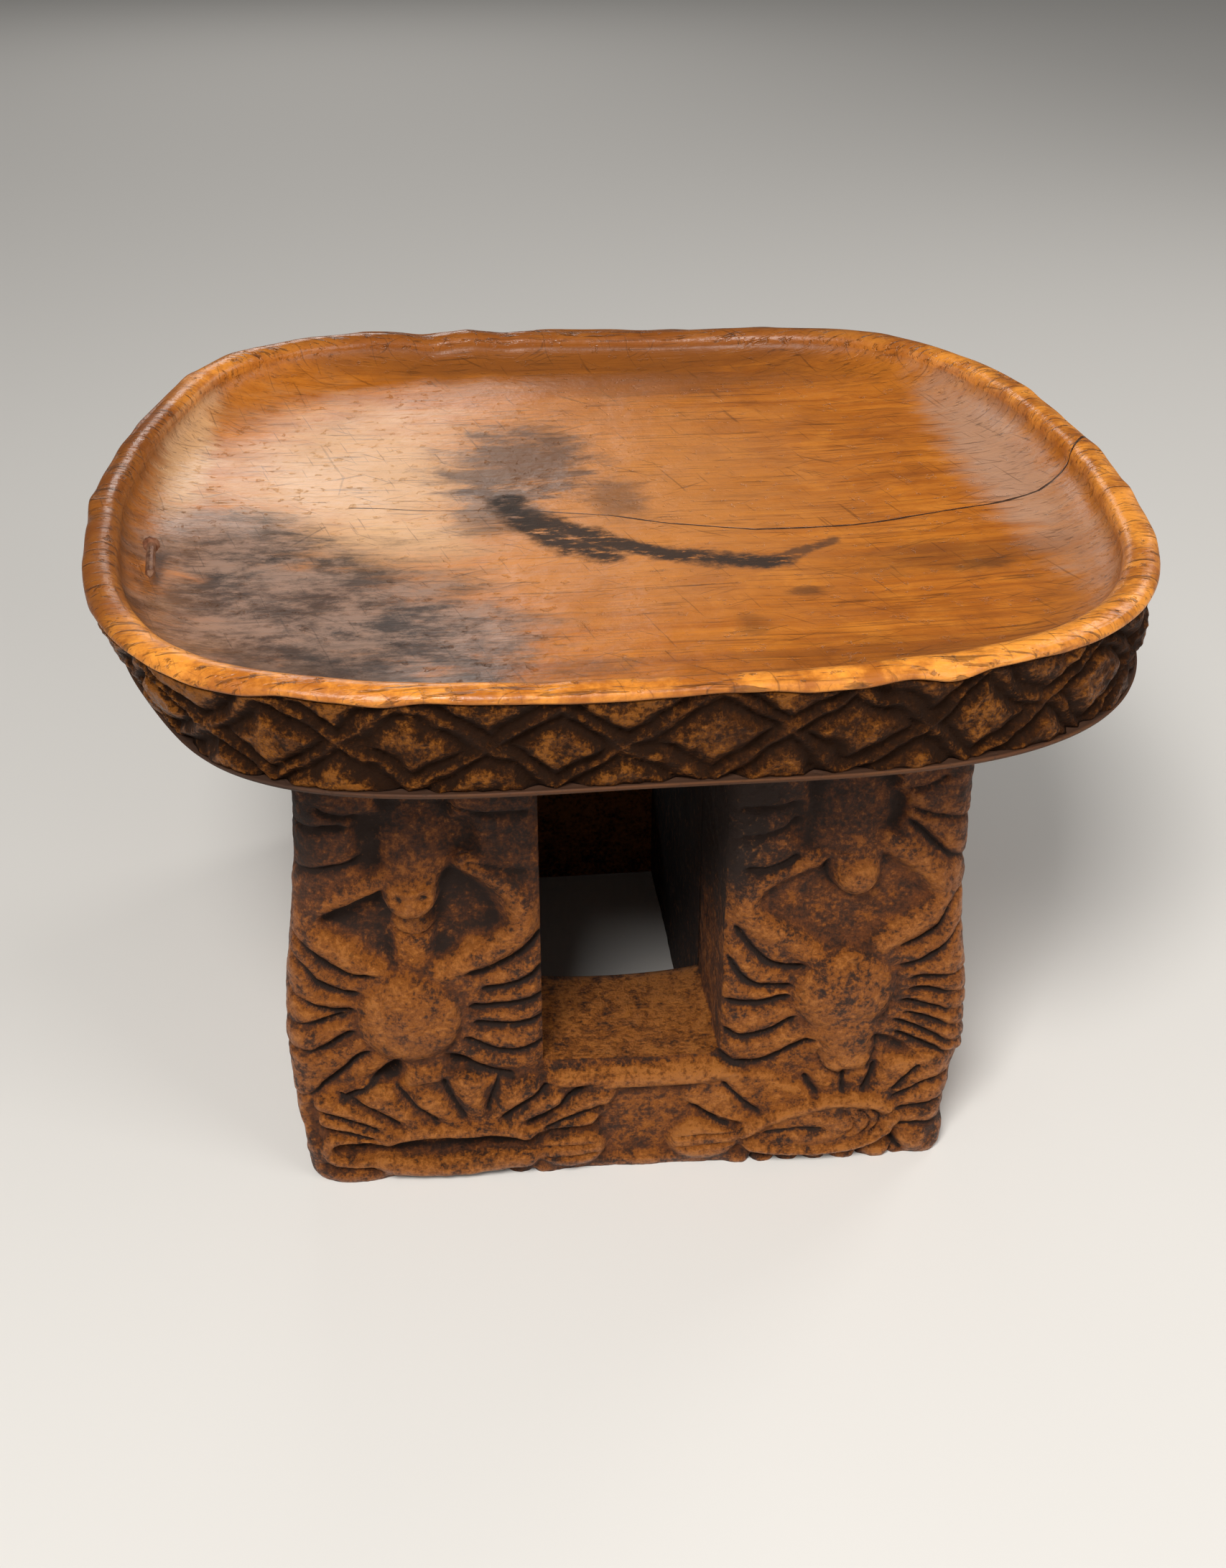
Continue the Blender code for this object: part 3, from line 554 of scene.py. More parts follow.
lip_wood = blend_colour(tree, fade(tree, patches, 0.38, 0.62), LIP_BRIGHT, LIP_BROWN)
spot = add_node(tree, "ShaderNodeSeparateXYZ")
feed(tree, place, spot.inputs[0])
at_left = fade(tree, spot.outputs["X"], -0.205, -0.240)
at_back = fade(tree, spot.outputs["Y"], 0.14, 0.24)
lip_wood = paint_over(tree, lip_wood, most(tree, at_left, at_back), 0.88, LIP_FAR)
colour = blend_colour(tree, lip, amber, lip_wood)
broken = fade(tree, noise(tree, stretch(tree, place, (70.0, 190.0, 70.0)), 1.0, 7.0, 0.75), 0.34, 0.48)
burnt = most(tree, stroke_mask(0.0150, 0.030, BURN_START), stroke_mask(0.0130, 0.028, BURN_MIDDLE))
burnt = most(tree, burnt, times(tree, stroke_mask(0.0065, 0.018, BURN_END), 0.75))
burnt = times(tree, burnt, broken)
split = stroke_mask(0.0011, 0.0026, MAIN_CRACK)
fine_split = stroke_mask(0.0008, 0.0022, FINE_CRACK)
colour = paint_over(tree, colour, burnt, 0.96, SOOT)
colour = paint_over(tree, colour, split, 0.95, CRACK)
colour = paint_over(tree, colour, fine_split, 0.80, CRACK)
for strength, width, waver, places in SCRATCHES:
    colour = paint_over(tree, colour, stroke_mask(width, waver, places), strength, CRACK)
print("lip, burn and cracks:", len(tree.nodes), "nodes")

# %% [markdown]
# ## Seat finish: pores, shine and relief
# Close up, the wood has dark pores along the grain, nicks in all directions and short checks across the lip.
# The polish is uneven, and dull where there is soot. A bump gives the fibres and cracks a little depth,
# which would take far too many points to model.

# %% Seat finish: pores, shine and relief
# painted shade: the nearly black colour below paints the seat's underside and foot
SHADE_AND_CREASE_DARK = (0.030, 0.011, 0.0040, 1.0)
SEAT_BUMP = 0.0006
pores = fade(tree, noise(tree, stretch(tree, place, (26.0, 460.0, 460.0)), 1.0, 3.0, 0.6), 0.56, 0.70)
colour = paint_over(tree, colour, pores, 0.50, CRACK)
for turn, scale in ((0.7, (24.0, 640.0, 1.0)), (-0.5, (28.0, 720.0, 1.0)), (1.3, (26.0, 680.0, 1.0))):
    nicks = fade(tree, noise(tree, stretch(tree, place, scale, turn), 1.0, 2.0, 0.5), 0.66, 0.72)
    colour = paint_over(tree, colour, nicks, 0.40, CRACK)
checks = fade(tree, noise(tree, stretch(tree, place, (38.0, 400.0, 150.0)), 1.0, 3.0, 0.6), 0.57, 0.66)
colour = paint_over(tree, colour, checks, fade(tree, lip, 0.3, 1.0, 0.0, 0.58), CRACK)
colour = paint_over(tree, colour, dirt["Pits"], fade(tree, lip, 0.2, 0.9, 0.12, 0.55), CRACK)
# painted shade on the seat's underside and foot; the same colour darkens the crease under the lip and the
# top of the dish's wall
colour = paint_over(tree, colour, deep, 0.98, SHADE_AND_CREASE_DARK)
feed(tree, colour, shader.inputs["Base Color"])
gloss = minus(tree, fade(tree, grain["Clouds"], 0.3, 0.7, 0.28, 0.42), times(tree, lip, 0.07))
for mask, dullness in ((sooty, 0.18), (deep, 0.45), (burnt, 0.30)):
    gloss = plus(tree, gloss, times(tree, mask, dullness))
feed(tree, gloss, shader.inputs["Roughness"])
shader.inputs["Specular IOR Level"].default_value = 0.34
relief = plus(tree, times(tree, grain["Fibres"], 0.6), times(tree, dirt["Pits"], -0.7))
relief = plus(tree, relief, times(tree, noise(tree, place, 95.0, 4.0, 0.6), 1.2))
relief = minus(tree, relief, times(tree, most(tree, split, fine_split), 2.0))
relief = minus(tree, relief, times(tree, checks, times(tree, lip, 1.2)))
bump(tree, shader, relief, SEAT_BUMP, 0.8)
print("seat finish:", seat_wood.name, len(tree.nodes), "nodes")

# %% [markdown]
# ## Seat outline
# Seen from above, the seat is a square with very round corners. One rule gives it: a superellipse. The
# maker's eye was not a compass, so the outline also swells and draws in by a few millimetres, most at the
# corner at the back left. Every loop of the seat is this outline, drawn in by some distance.

# %% Seat outline
SEAT_HALF = 0.250
SQUARENESS = 3.2


def seat_loop(count):
    """Points of the outline at equal steps, from the front middle towards the right, and their run."""
    angle = np.linspace(-np.pi / 2, 1.5 * np.pi, 24001)
    c, s = np.cos(angle), np.sin(angle)
    x = SEAT_HALF * np.sign(c) * np.abs(c) ** (2 / SQUARENESS)
    y = SEAT_HALF * np.sign(s) * np.abs(s) ** (2 / SQUARENESS)
    run = np.concatenate([[0.0], np.cumsum(np.hypot(np.diff(x), np.diff(y)))])
    want = np.arange(count) * run[-1] / count
    return np.stack([np.interp(want, run, x), np.interp(want, run, y)], -1), want, run[-1]


# place on the outline, reach along it, and how far the wood stands off there
SWELLS = (
    ((-0.242, 0.122), 0.058, (0.0070, -0.0020)),
    ((0.250, -0.005), 0.060, (0.0055, 0.0000)),
    ((-0.200, -0.205), 0.060, (-0.0025, -0.0028)),
    ((-0.250, -0.015), 0.035, (-0.0030, 0.0000)),
)


def hand_made(points):
    """Move points of the seat by the swells of the outline."""
    moved = points.copy()
    for centre, reach, shift in SWELLS:
        gap = np.hypot(points[:, 0] - centre[0], points[:, 1] - centre[1])
        moved[:, :2] += np.exp(-(gap / reach) ** 2)[:, None] * np.array(shift)
    return moved


def corner_share(loop):
    """0 at the middles of the sides, 1 at the corners."""
    return np.clip((np.hypot(loop[:, 0], loop[:, 1]) / SEAT_HALF - 1) / 0.139, 0, 1)


print("outline length", round(seat_loop(800)[2], 4), "m")


# %% [markdown]
# ## Dished seat
# The dish is one skin lofted through many loops: under the seat, up the plain foot, behind the lozenge
# band, over the rounded lip, down the wall and across the floor to its middle. A loft of loops gives full
# control of the profile, and the same points carry two numbers for the finish: how worn, which marks the
# lip, and how dark, which is painted shade on the underside and the foot and also darkens the crease under
# the lip and the top of the dish's wall. The side leans in a little towards its foot, most at the front left
# corner.

# %% Heights and lean of the seat
SEAT_UNDER = 0.259
BAND_LOW = 0.2625
BAND_HIGH = 0.3055
BAND_THICK = 0.009
SIDE_LEAN = 0.010
CORNER_UPRIGHT = 0.75
TAPER_AT = (-0.222, -0.170)
TAPER_REACH = 0.075
TAPER = 1.45
LIP_Z = 0.3055
LIP_CROWN = 0.0065
LIP_WIDE = 0.0155
WALL_WIDE = 0.0415
WALL_DROP = 0.0155
FLOOR_SAG = 0.004


def lean(z):
    """How far the side lies inside the lip at a height."""
    return SIDE_LEAN * np.clip((BAND_HIGH - z) / (BAND_HIGH - SEAT_UNDER), 0, 1)


def upright(loop):
    """Share of the lean that is missing round the outline; below 0 where the side leans in more."""
    gap = np.hypot(loop[:, 0] - TAPER_AT[0], loop[:, 1] - TAPER_AT[1])
    return CORNER_UPRIGHT * corner_share(loop) - TAPER * np.exp(-(gap / TAPER_REACH) ** 2)


print("the seat's side leans in by", SIDE_LEAN * 1000, "mm")


# %% Seat profile
def seat_profile():
    """Rows of inset, height, worn, dark (painted shade on the underside and the foot), lean, share of the
    rim's dips and share of the lip's waver.
    """
    rows = []
    # painted shade: the underside, the foot and the ledge below the band get a high dark number
    for inset in (0.20, 0.15, 0.10, 0.07, 0.045, 0.028, 0.018):
        rows.append((inset, SEAT_UNDER, 0.1, 0.6, SIDE_LEAN, 0, 0))
    foot = BAND_LOW - SEAT_UNDER
    for angle in np.linspace(0, np.pi / 2, 6):
        height = SEAT_UNDER + foot * (1 - math.cos(angle))
        rows.append((lean(height) + foot * (1 - math.sin(angle)), height, 0.0, 0.90, lean(height), 0, 0))
    rows.append((lean(BAND_LOW) + 0.0012, BAND_LOW, 0.0, 1.0, lean(BAND_LOW), 0, 0))
    rows.append((lean(BAND_LOW) + BAND_THICK, BAND_LOW, 0.0, 1.0, lean(BAND_LOW), 0, 0))
    rows.append((BAND_THICK, BAND_HIGH, 0.0, 1.0, 0, 1, 1))
    rows.append((0.0030, BAND_HIGH, 0.0, 1.0, 0, 1, 1))
    rows.append((0.0008, BAND_HIGH + 0.0006, 0.4, 0.5, 0, 1, 1))
    for angle in np.linspace(0.0, np.pi, 25):
        inset = LIP_WIDE / 2 * (1 - math.cos(angle))
        height = BAND_HIGH + 0.0016 + (LIP_Z + LIP_CROWN - BAND_HIGH - 0.0016) * math.sin(angle) ** 0.9
        if angle > np.pi / 2:
            height = LIP_Z + LIP_CROWN * math.sin(angle)
        wave = max(0.0, math.cos(angle)) ** 2
        rows.append((inset, height, 1.0 if angle < 2.6 else 0.7, 0.25 * wave, 0, 1, wave))
    for angle in np.linspace(0, np.pi / 2, 15)[1:]:
        inset = LIP_WIDE + WALL_WIDE * (1 - math.cos(angle))
        above = 1 - angle / (np.pi / 2)
        rows.append((inset, LIP_Z - WALL_DROP * math.sin(angle), 0.35 * above, 0.22 * above, 0, above, 0))
    edge = LIP_WIDE + WALL_WIDE
    for share in np.linspace(0, 1, 24)[1:-1]:
        height = LIP_Z - WALL_DROP - FLOOR_SAG * (1 - (1 - share) ** 2)
        rows.append((edge + (SEAT_HALF - edge) * share, height, 0, 0, 0, 0, 0))
    return np.array(rows, float)


profile = seat_profile()
print("profile rows:", len(profile))


# %% [markdown]
# ## Uneven rim
# The rim of the real seat isn't level: it dips along the back, is dented at a few places, and its lower edge
# wavers. A few measured drops, smoothed, are enough, because the loft can lower each of its points.

# %% Uneven rim
# place from left to right and drop of the rim along the back
RIM_DIPS = ((-0.170, 0.0), (-0.120, 0.0003), (-0.085, 0.0042), (-0.040, 0.0048), (0.010, 0.0060),
            (0.050, 0.0080), (0.100, 0.0076), (0.140, 0.0055), (0.185, 0.0030), (0.250, 0.0030))
# place, reach and drop of single dents
RIM_DENTS = ((-0.088, 0.240, 0.011, 0.0035), (-0.062, 0.243, 0.007, -0.0022), (-0.040, 0.244, 0.009, 0.0018),
             (-0.246, -0.040, 0.008, 0.0012), (0.120, -0.240, 0.010, 0.0008))


def smooth_step(value, low, high):
    """0 below, 1 above, and a smooth way between."""
    t = np.clip((value - low) / (high - low), 0, 1)
    return t * t * (3 - 2 * t)


def rim_dip(loop):
    """How far the rim lies below its usual height round the outline."""
    x, y = [d[0] for d in RIM_DIPS], [d[1] for d in RIM_DIPS]
    fine = np.interp(np.linspace(-0.25, 0.25, 401), x, y)
    fine = np.convolve(np.pad(fine, 20, mode="edge"), np.ones(41) / 41, mode="valid")
    dip = np.interp(loop[:, 0], np.linspace(-0.25, 0.25, 401), fine) * smooth_step(loop[:, 1], 0.08, 0.20)
    for x, y, reach, drop in RIM_DENTS:
        dip += drop * np.exp(-(np.hypot(loop[:, 0] - x, loop[:, 1] - y) / reach) ** 2)
    return dip


print("rim dips up to", round(rim_dip(seat_loop(800)[0]).max() * 1000, 1), "mm")


# %% [markdown]
# ## Mesh helpers
# Most pieces are grids of points, so one helper makes the faces of a grid and one turns points and faces
# into an object with numbers stored on its points. Hand-cut wood is uneven, so a third gives smooth random
# numbers, always the same ones for the same seed.


# %% Faces and pieces
def grid_faces(rows, columns, closed, start=0):
    """Quads of a grid of points, whose rows may close on themselves."""
    across = columns if closed else columns - 1
    r, c = np.meshgrid(np.arange(rows - 1), np.arange(across), indexing="ij")
    nxt = (c + 1) % columns
    this_row, next_row = r * columns, (r + 1) * columns
    quads = np.stack([this_row + c, this_row + nxt, next_row + nxt, next_row + c], -1)
    return quads.reshape(-1, 4) + start


def make_piece(name, points, faces, finish, **numbers):
    """A smooth mesh object from points and faces, with numbers stored on its points."""
    mesh = bpy.data.meshes.new(name)
    mesh.from_pydata(np.asarray(points).tolist(), [], [list(map(int, face)) for face in faces])
    mesh.materials.append(finish)
    for label, values in numbers.items():
        layer = mesh.attributes.new(label, "FLOAT", "POINT")
        layer.data.foreach_set("value", np.asarray(values, np.float32))
    mesh.validate()
    mesh.shade_smooth()
    piece = bpy.data.objects.new(name, mesh)
    scene.collection.objects.link(piece)
    return piece


print("faces and pieces ready")


# %% Smooth random numbers
def soft_noise(rows, columns, seed, closed=False):
    """Smooth random numbers between about -1 and 1 on a grid of knots, as a lookup by shares."""
    rng = np.random.default_rng(seed)
    knots = rng.uniform(-1, 1, (rows, columns))
    if closed:
        knots[:, -1] = knots[:, 0]

    def at(v, u):
        a = np.clip(v, 0, 0.9999) * (rows - 1)
        b = np.clip(u, 0, 0.9999) * (columns - 1)
        i, j = a.astype(int), b.astype(int)
        f, g = a - i, b - j
        f, g = f * f * (3 - 2 * f), g * g * (3 - 2 * g)
        low = knots[i, j] * (1 - g) + knots[i, j + 1] * g
        high = knots[i + 1, j] * (1 - g) + knots[i + 1, j + 1] * g
        return low * (1 - f) + high * f

    return at


LIP_WAVER = 0.0016
lip_noise = soft_noise(2, 90, 7, closed=True)


def lip_edge(run, length):
    """How far the lip's lower edge lies above its usual height round the outline."""
    return LIP_WAVER * lip_noise(np.zeros(len(run)), run / length)


print("the lip's edge wavers by", LIP_WAVER * 1000, "mm")

# %% [markdown]
# ## Loft of the seat
# Now every row of the profile becomes a loop of points: the outline drawn in by the row's inset, at the
# row's height, lowered by the rim's dips. Quads join the loops, and fans of triangles close both middles.

# %% Dish, lip and foot
AROUND = 840
ROWS_BELOW_LIP = 18
loop, run, length = seat_loop(AROUND)
rows = len(profile)
inset, z, worn, deep, leaning, dips, waver = profile.T[..., None]
inset = inset - upright(loop)[None] * leaning
flat = loop[None] * (1 - inset / SEAT_HALF)[..., None]
z = z - dips * rim_dip(loop)[None]
z = z + waver * lip_edge(run, length)[None]
v, u = (flat[..., 1] + 0.26) / 0.52, (flat[..., 0] + 0.26) / 0.52
uneven = 0.0010 * soft_noise(8, 8, 11)(v, u) + 0.0004 * soft_noise(26, 26, 12)(v, u)
z = z + uneven * (waver < 0.5) * (np.arange(rows) >= ROWS_BELOW_LIP)[:, None]
points = hand_made(np.concatenate([flat, z[..., None]], -1).reshape(-1, 3))
under = np.array([[0.0, 0.0, SEAT_UNDER]])
last = points[-AROUND:].mean(0, keepdims=True)
faces = [tuple(quad) for quad in grid_faces(rows, AROUND, True)]
for k in range(AROUND):
    nxt = (k + 1) % AROUND
    faces.append((nxt, k, rows * AROUND))
    faces.append(((rows - 1) * AROUND + k, (rows - 1) * AROUND + nxt, rows * AROUND + 1))
worn = np.concatenate([np.repeat(worn, AROUND), [0.2, 0.0]])
deep = np.concatenate([np.repeat(deep, AROUND), [0.6, 0.0]])
points = np.concatenate([points, under, last])
seat = make_piece("dished_seat", points, faces, seat_wood, worn=worn, deep=deep)
print("dished seat:", len(seat.data.polygons), "faces")

# %% [markdown]
# ## Lozenge band
# Round the seat's side, two zigzag ridges cross again and again and leave a row of lozenges. A groove runs
# on each side of a ridge. The pattern follows a rule, so Geometry Nodes carve it: the band is a plain ring
# whose points know how far round and how high they are, and the tree pushes each point in by its distance
# from the nearest groove.

# %% Plain ring for the band
BAND_STEPS = 1260
BAND_ROWS = 31
BAND_BACK = 0.0087
BAND_GAP = 0.0003
loop, run, length = seat_loop(BAND_STEPS)
top_edge = BAND_HIGH - BAND_GAP + lip_edge(run, length) - rim_dip(loop)
loops = []
levels = np.linspace(0, 1, BAND_ROWS)
for share, back in [(t, 0.0) for t in levels] + [(1.0, BAND_BACK), (0.0, BAND_BACK)]:
    z = BAND_LOW + BAND_GAP + (top_edge - BAND_LOW - BAND_GAP) * share
    inset = lean(z) * (1 - upright(loop)) + back
    loops.append(np.column_stack([loop * (1 - inset / SEAT_HALF)[:, None], z]))
points = hand_made(np.concatenate(loops))
rows = len(loops)
faces = np.concatenate([grid_faces(rows, BAND_STEPS, True), [
    ((rows - 1) * BAND_STEPS + k, (rows - 1) * BAND_STEPS + (k + 1) % BAND_STEPS, (k + 1) % BAND_STEPS, k)
    for k in range(BAND_STEPS)]])
up = np.concatenate([np.repeat(levels, BAND_STEPS), np.full(2 * BAND_STEPS, 0.5)])
face_of_band = np.concatenate([np.ones(BAND_ROWS * BAND_STEPS), np.zeros(2 * BAND_STEPS)])
band = make_piece("lozenge_band", points, faces, lattice_wood,
                  along=np.tile(run, rows), up=up, face=face_of_band)
step = np.roll(loop, -1, 0) - np.roll(loop, 1, 0)
outward = np.column_stack([step[:, 1], -step[:, 0], np.zeros(BAND_STEPS)])
outward /= np.linalg.norm(outward, axis=1)[:, None]
layer = band.data.attributes.new("outward", "FLOAT_VECTOR", "POINT")
layer.data.foreach_set("vector", np.tile(outward, (rows, 1)).astype(np.float32).ravel())
print("band ring:", len(band.data.polygons), "faces, length", round(length, 3))

# %% [markdown]
# ## Tree that carves the band
# The tree works point by point. It counts how many crossings lie between a point and the first one, adds a
# slow drift so that the lozenges differ as hand-cut ones do, and finds the distance from the nearest ridge.
# That distance gives the depth of the cut, and the cut gives the wear and the dirt. The wear number also
# carries painted light: the band is painted lighter towards the left and darker towards the right.

# %% Sizes of the lattice
CROSSINGS = 28
SIZES = (
    ("Pitch", length / CROSSINGS),
    ("First crossing", -0.014),
    ("Groove width", 0.0058),
    ("Ridge", 0.0043),
    ("Groove depth", 0.0050),
    ("Band height", BAND_HIGH - BAND_LOW),
    ("Wander", 0.56),
    ("Chips", 0.0045),
)
lattice = bpy.data.node_groups.new("lozenge_lattice", "GeometryNodeTree")
lattice.interface.new_socket("Ring", in_out="INPUT", socket_type="NodeSocketGeometry")
lattice.interface.new_socket("Carved", in_out="OUTPUT", socket_type="NodeSocketGeometry")
keys = {}
for label, value in SIZES:
    socket = lattice.interface.new_socket(label, in_out="INPUT", socket_type="NodeSocketFloat")
    keys[label] = socket.identifier
enter = add_node(lattice, "NodeGroupInput")
leave = add_node(lattice, "NodeGroupOutput")
print("lattice sizes:", {label: round(value, 4) for label, value in SIZES})


# %% Depth of the cut at a point
def stored(name, kind="FLOAT"):
    """A number or vector stored on the ring's points."""
    node = add_node(lattice, "GeometryNodeInputNamedAttribute", data_type=kind)
    node.inputs["Name"].default_value = name
    return node.outputs["Attribute"]


def unevenness(scale):
    """A noise texture on the ring's points."""
    node = add_node(lattice, "ShaderNodeTexNoise")
    lattice.links.new(place, node.inputs["Vector"])
    node.inputs["Scale"].default_value = scale
    return node.outputs


def centred(value, factor, middle=0.5):
    """A number less its middle, times a factor."""
    return times(lattice, minus(lattice, value, middle), factor)


place = add_node(lattice, "GeometryNodeInputPosition").outputs[0]
shake = unevenness(26.0)
rough = unevenness(130.0)
height = enter.outputs["Band height"]
pitch = enter.outputs["Pitch"]
turns = calc(lattice, "DIVIDE", minus(lattice, stored("along"), enter.outputs["First crossing"]), pitch)
turns = plus(lattice, turns, centred(shake["Fac"], enter.outputs["Wander"]))
beside = calc(lattice, "ABSOLUTE", minus(lattice, turns, calc(lattice, "ROUND", turns)))
swayed = plus(lattice, stored("up"), centred(shake["Color"], enter.outputs["Wander"]))
above = calc(lattice, "ABSOLUTE", minus(lattice, swayed, 0.5))
gap = calc(lattice, "ABSOLUTE", minus(lattice, above, beside))
slope = calc(lattice, "DIVIDE", height, pitch)
steep = calc(lattice, "SQRT", plus(lattice, times(lattice, slope, slope), 1.0))
gap = calc(lattice, "DIVIDE", times(lattice, gap, height), steep)
gap = calc(lattice, "ABSOLUTE", minus(lattice, gap, enter.outputs["Ridge"]))
near = minus(lattice, 1.0, calc(lattice, "DIVIDE", gap, enter.outputs["Groove width"]), clamp=True)
hollow = calc(lattice, "POWER", near, 1.25)
edge = minus(lattice, 1.0, times(lattice, above, 2.0))
edge_in = calc(lattice, "POWER", minus(lattice, 1.0, times(lattice, edge, 6.0), clamp=True), 2.0)
cut = times(lattice, most(lattice, hollow, times(lattice, edge_in, 0.22)), stored("face"))
print("cut:", len(lattice.nodes), "nodes")

# %% Move the points and store their wear
chips = times(lattice, centred(rough["Fac"], enter.outputs["Chips"], 0.62), stored("face"))
push = times(lattice, times(lattice, cut, enter.outputs["Groove depth"]), -1.0)
offset = add_node(lattice, "ShaderNodeVectorMath", operation="SCALE")
lattice.links.new(stored("outward", "FLOAT_VECTOR"), offset.inputs[0])
lattice.links.new(plus(lattice, push, chips), offset.inputs["Scale"])
spot = add_node(lattice, "ShaderNodeSeparateXYZ")
lattice.links.new(place, spot.inputs[0])
top_wear = times(lattice, calc(lattice, "POWER", stored("up"), 10.0), 0.2)
# painted light: the band is painted lighter towards the left and darker towards the right
painted_side_light = times(lattice, spot.outputs["X"], -1.5)
rubbed_and_lit = minus(lattice, plus(lattice, centred(shake["Fac"], 2.0), 0.74), times(lattice, cut, 1.2))
for rub_and_light in (top_wear, painted_side_light, centred(rough["Fac"], 1.6)):
    rubbed_and_lit = plus(lattice, rubbed_and_lit, rub_and_light)
geometry = enter.outputs["Ring"]
for name, value in (("deep", calc(lattice, "POWER", cut, 0.8)), ("worn", rubbed_and_lit)):
    keep = add_node(lattice, "GeometryNodeStoreNamedAttribute", data_type="FLOAT", domain="POINT")
    keep.inputs["Name"].default_value = name
    lattice.links.new(geometry, keep.inputs["Geometry"])
    lattice.links.new(value, keep.inputs["Value"])
    geometry = keep.outputs[0]
move = add_node(lattice, "GeometryNodeSetPosition")
realize = add_node(lattice, "GeometryNodeRealizeInstances")
dress = add_node(lattice, "GeometryNodeSetMaterial")
dress.inputs["Material"].default_value = lattice_wood
lattice.links.new(geometry, move.inputs["Geometry"])
lattice.links.new(offset.outputs["Vector"], move.inputs["Offset"])
lattice.links.new(move.outputs[0], realize.inputs[0])
lattice.links.new(realize.outputs[0], dress.inputs["Geometry"])
lattice.links.new(dress.outputs[0], leave.inputs[0])
print("lattice tree:", len(lattice.nodes), "nodes")

# %% [markdown]
# ## Bake the band
# The tree could stay on the band as a modifier, but the library wants plain meshes. So the band is evaluated
# once with the sizes above, and the result takes the ring's place.


# %% Bake the band
def bake_nodes(piece, tree, values):
    """Run a Geometry Nodes tree on a piece and keep the result as a plain mesh."""
    modifier = piece.modifiers.new(tree.name, "NODES")
    modifier.node_group = tree
    for key, value in values.items():
        modifier[key] = value
    graph = bpy.context.evaluated_depsgraph_get()
    carved = piece.evaluated_get(graph)
    baked = bpy.data.meshes.new_from_object(carved, preserve_all_data_layers=True, depsgraph=graph)
    piece.modifiers.remove(modifier)
    piece.data = baked
    return piece


bake_nodes(band, lattice, {keys[label]: value for label, value in SIZES})
print("carved band:", len(band.data.polygons), "faces,", [m.name for m in band.data.materials])

# %% [markdown]
# ## Carved face
# Each end of the base is a thick plate with a window in it. A carver starts from the flat plate and cuts
# away, so this face is made in the same way: a fine sheet of points over the front and round both corners,
# with a height for each point. Small tools change the heights: a dome for a belly, a rounded bar for a
# leg, a sunk field for a recess, and a groove along a line. All places below are in millimetres on the
# face, x to the right of the stool's middle and z above the floor.

# %% Sizes of the plate
BASE_X = -0.0055
FACE_Y = -0.180
SLANT = 0.035
PLATE_BACK = -0.097
WINDOW = (-0.049, 0.038)
SILL_TOP = 0.067
CORNER = 0.014
LEFT_END = -0.1585
LEFT_SWELL = 0.0130
RIGHT_END = 0.1510
RIGHT_SWELL = 0.0082
STEP = 0.00095
SIDE_STEP = 0.0016
TYPICAL_DEPTH = 0.006


def swell(z, middle, below, above):
    """A bulge that fades below and above its middle height."""
    return np.exp(-((z - middle) / np.where(z < middle, below, above)) ** 2)


def left_edge(z):
    """Where the base ends on the left: it swells below its middle height."""
    return LEFT_END - LEFT_SWELL * swell(z, 0.085, 0.110, 0.075)


def right_edge(z):
    """Where the base ends on the right."""
    return RIGHT_END + RIGHT_SWELL * swell(z, 0.075, 0.070, 0.060)


print("base is", round(right_edge(0.08) - left_edge(0.08), 3), "m wide where it swells")


# %% Columns and rows of points
def even(a, b, step):
    """Evenly spaced values from a to b."""
    return np.linspace(a, b, max(2, int(round(abs(b - a) / step)) + 1))


LEFT_WIDE = 0.098
RIGHT_WIDE = 0.106
SIDE_DEEP = 0.069
left_share = even(0, 1, STEP / LEFT_WIDE)
right_share = even(0, 1, STEP / RIGHT_WIDE)
window_x = even(WINDOW[0], WINDOW[1], STEP)
turn = even(0, math.pi / 2, STEP / CORNER)[1:]
side_share = even(0, 1, SIDE_STEP / SIDE_DEEP)[1:]
heights = np.concatenate([even(0, SILL_TOP, STEP), even(SILL_TOP, SEAT_UNDER, STEP)[1:]])
n_side = len(turn) + len(side_share)
win_a = n_side + len(left_share) - 1
win_b = win_a + len(window_x) - 1
columns = 2 * n_side + len(left_share) + len(window_x) + len(right_share) - 2
rows = len(heights)
win_row = int(np.argmin(abs(heights - SILL_TOP)))
print("window columns:", win_a, "to", win_b, "above row", win_row)


# %% Sheet of points over the face
def face_y(x):
    """The face isn't quite square to the seat: it comes forward to the right."""
    return FACE_Y - SLANT * (x - BASE_X)


def round_corner(edge, side):
    """Points, outward directions and run of one corner and the side behind it, from front to back."""
    x0 = edge - side * CORNER
    y0 = face_y(x0)
    back = PLATE_BACK - y0 - CORNER
    x = np.concatenate([x0 + side * CORNER * np.sin(turn), np.full(len(side_share), edge)])
    y = np.concatenate([y0 + CORNER * (1 - np.cos(turn)), y0 + CORNER + back * side_share])
    nx = np.concatenate([side * np.sin(turn), np.full(len(side_share), float(side))])
    ny = np.concatenate([-np.cos(turn), np.zeros(len(side_share))])
    return x, y, nx, ny, np.concatenate([CORNER * turn, CORNER * math.pi / 2 + back * side_share])


def as_seen(x, y, z):
    """Where the line of sight to a point crosses the upright plane at the front of the base."""
    eye = np.array(CAMERA_PLACE)
    share = (FACE_Y - eye[1]) / (y + TYPICAL_DEPTH - eye[1])
    return eye[0] + (x - eye[0]) * share, eye[2] + (z - eye[2]) * share


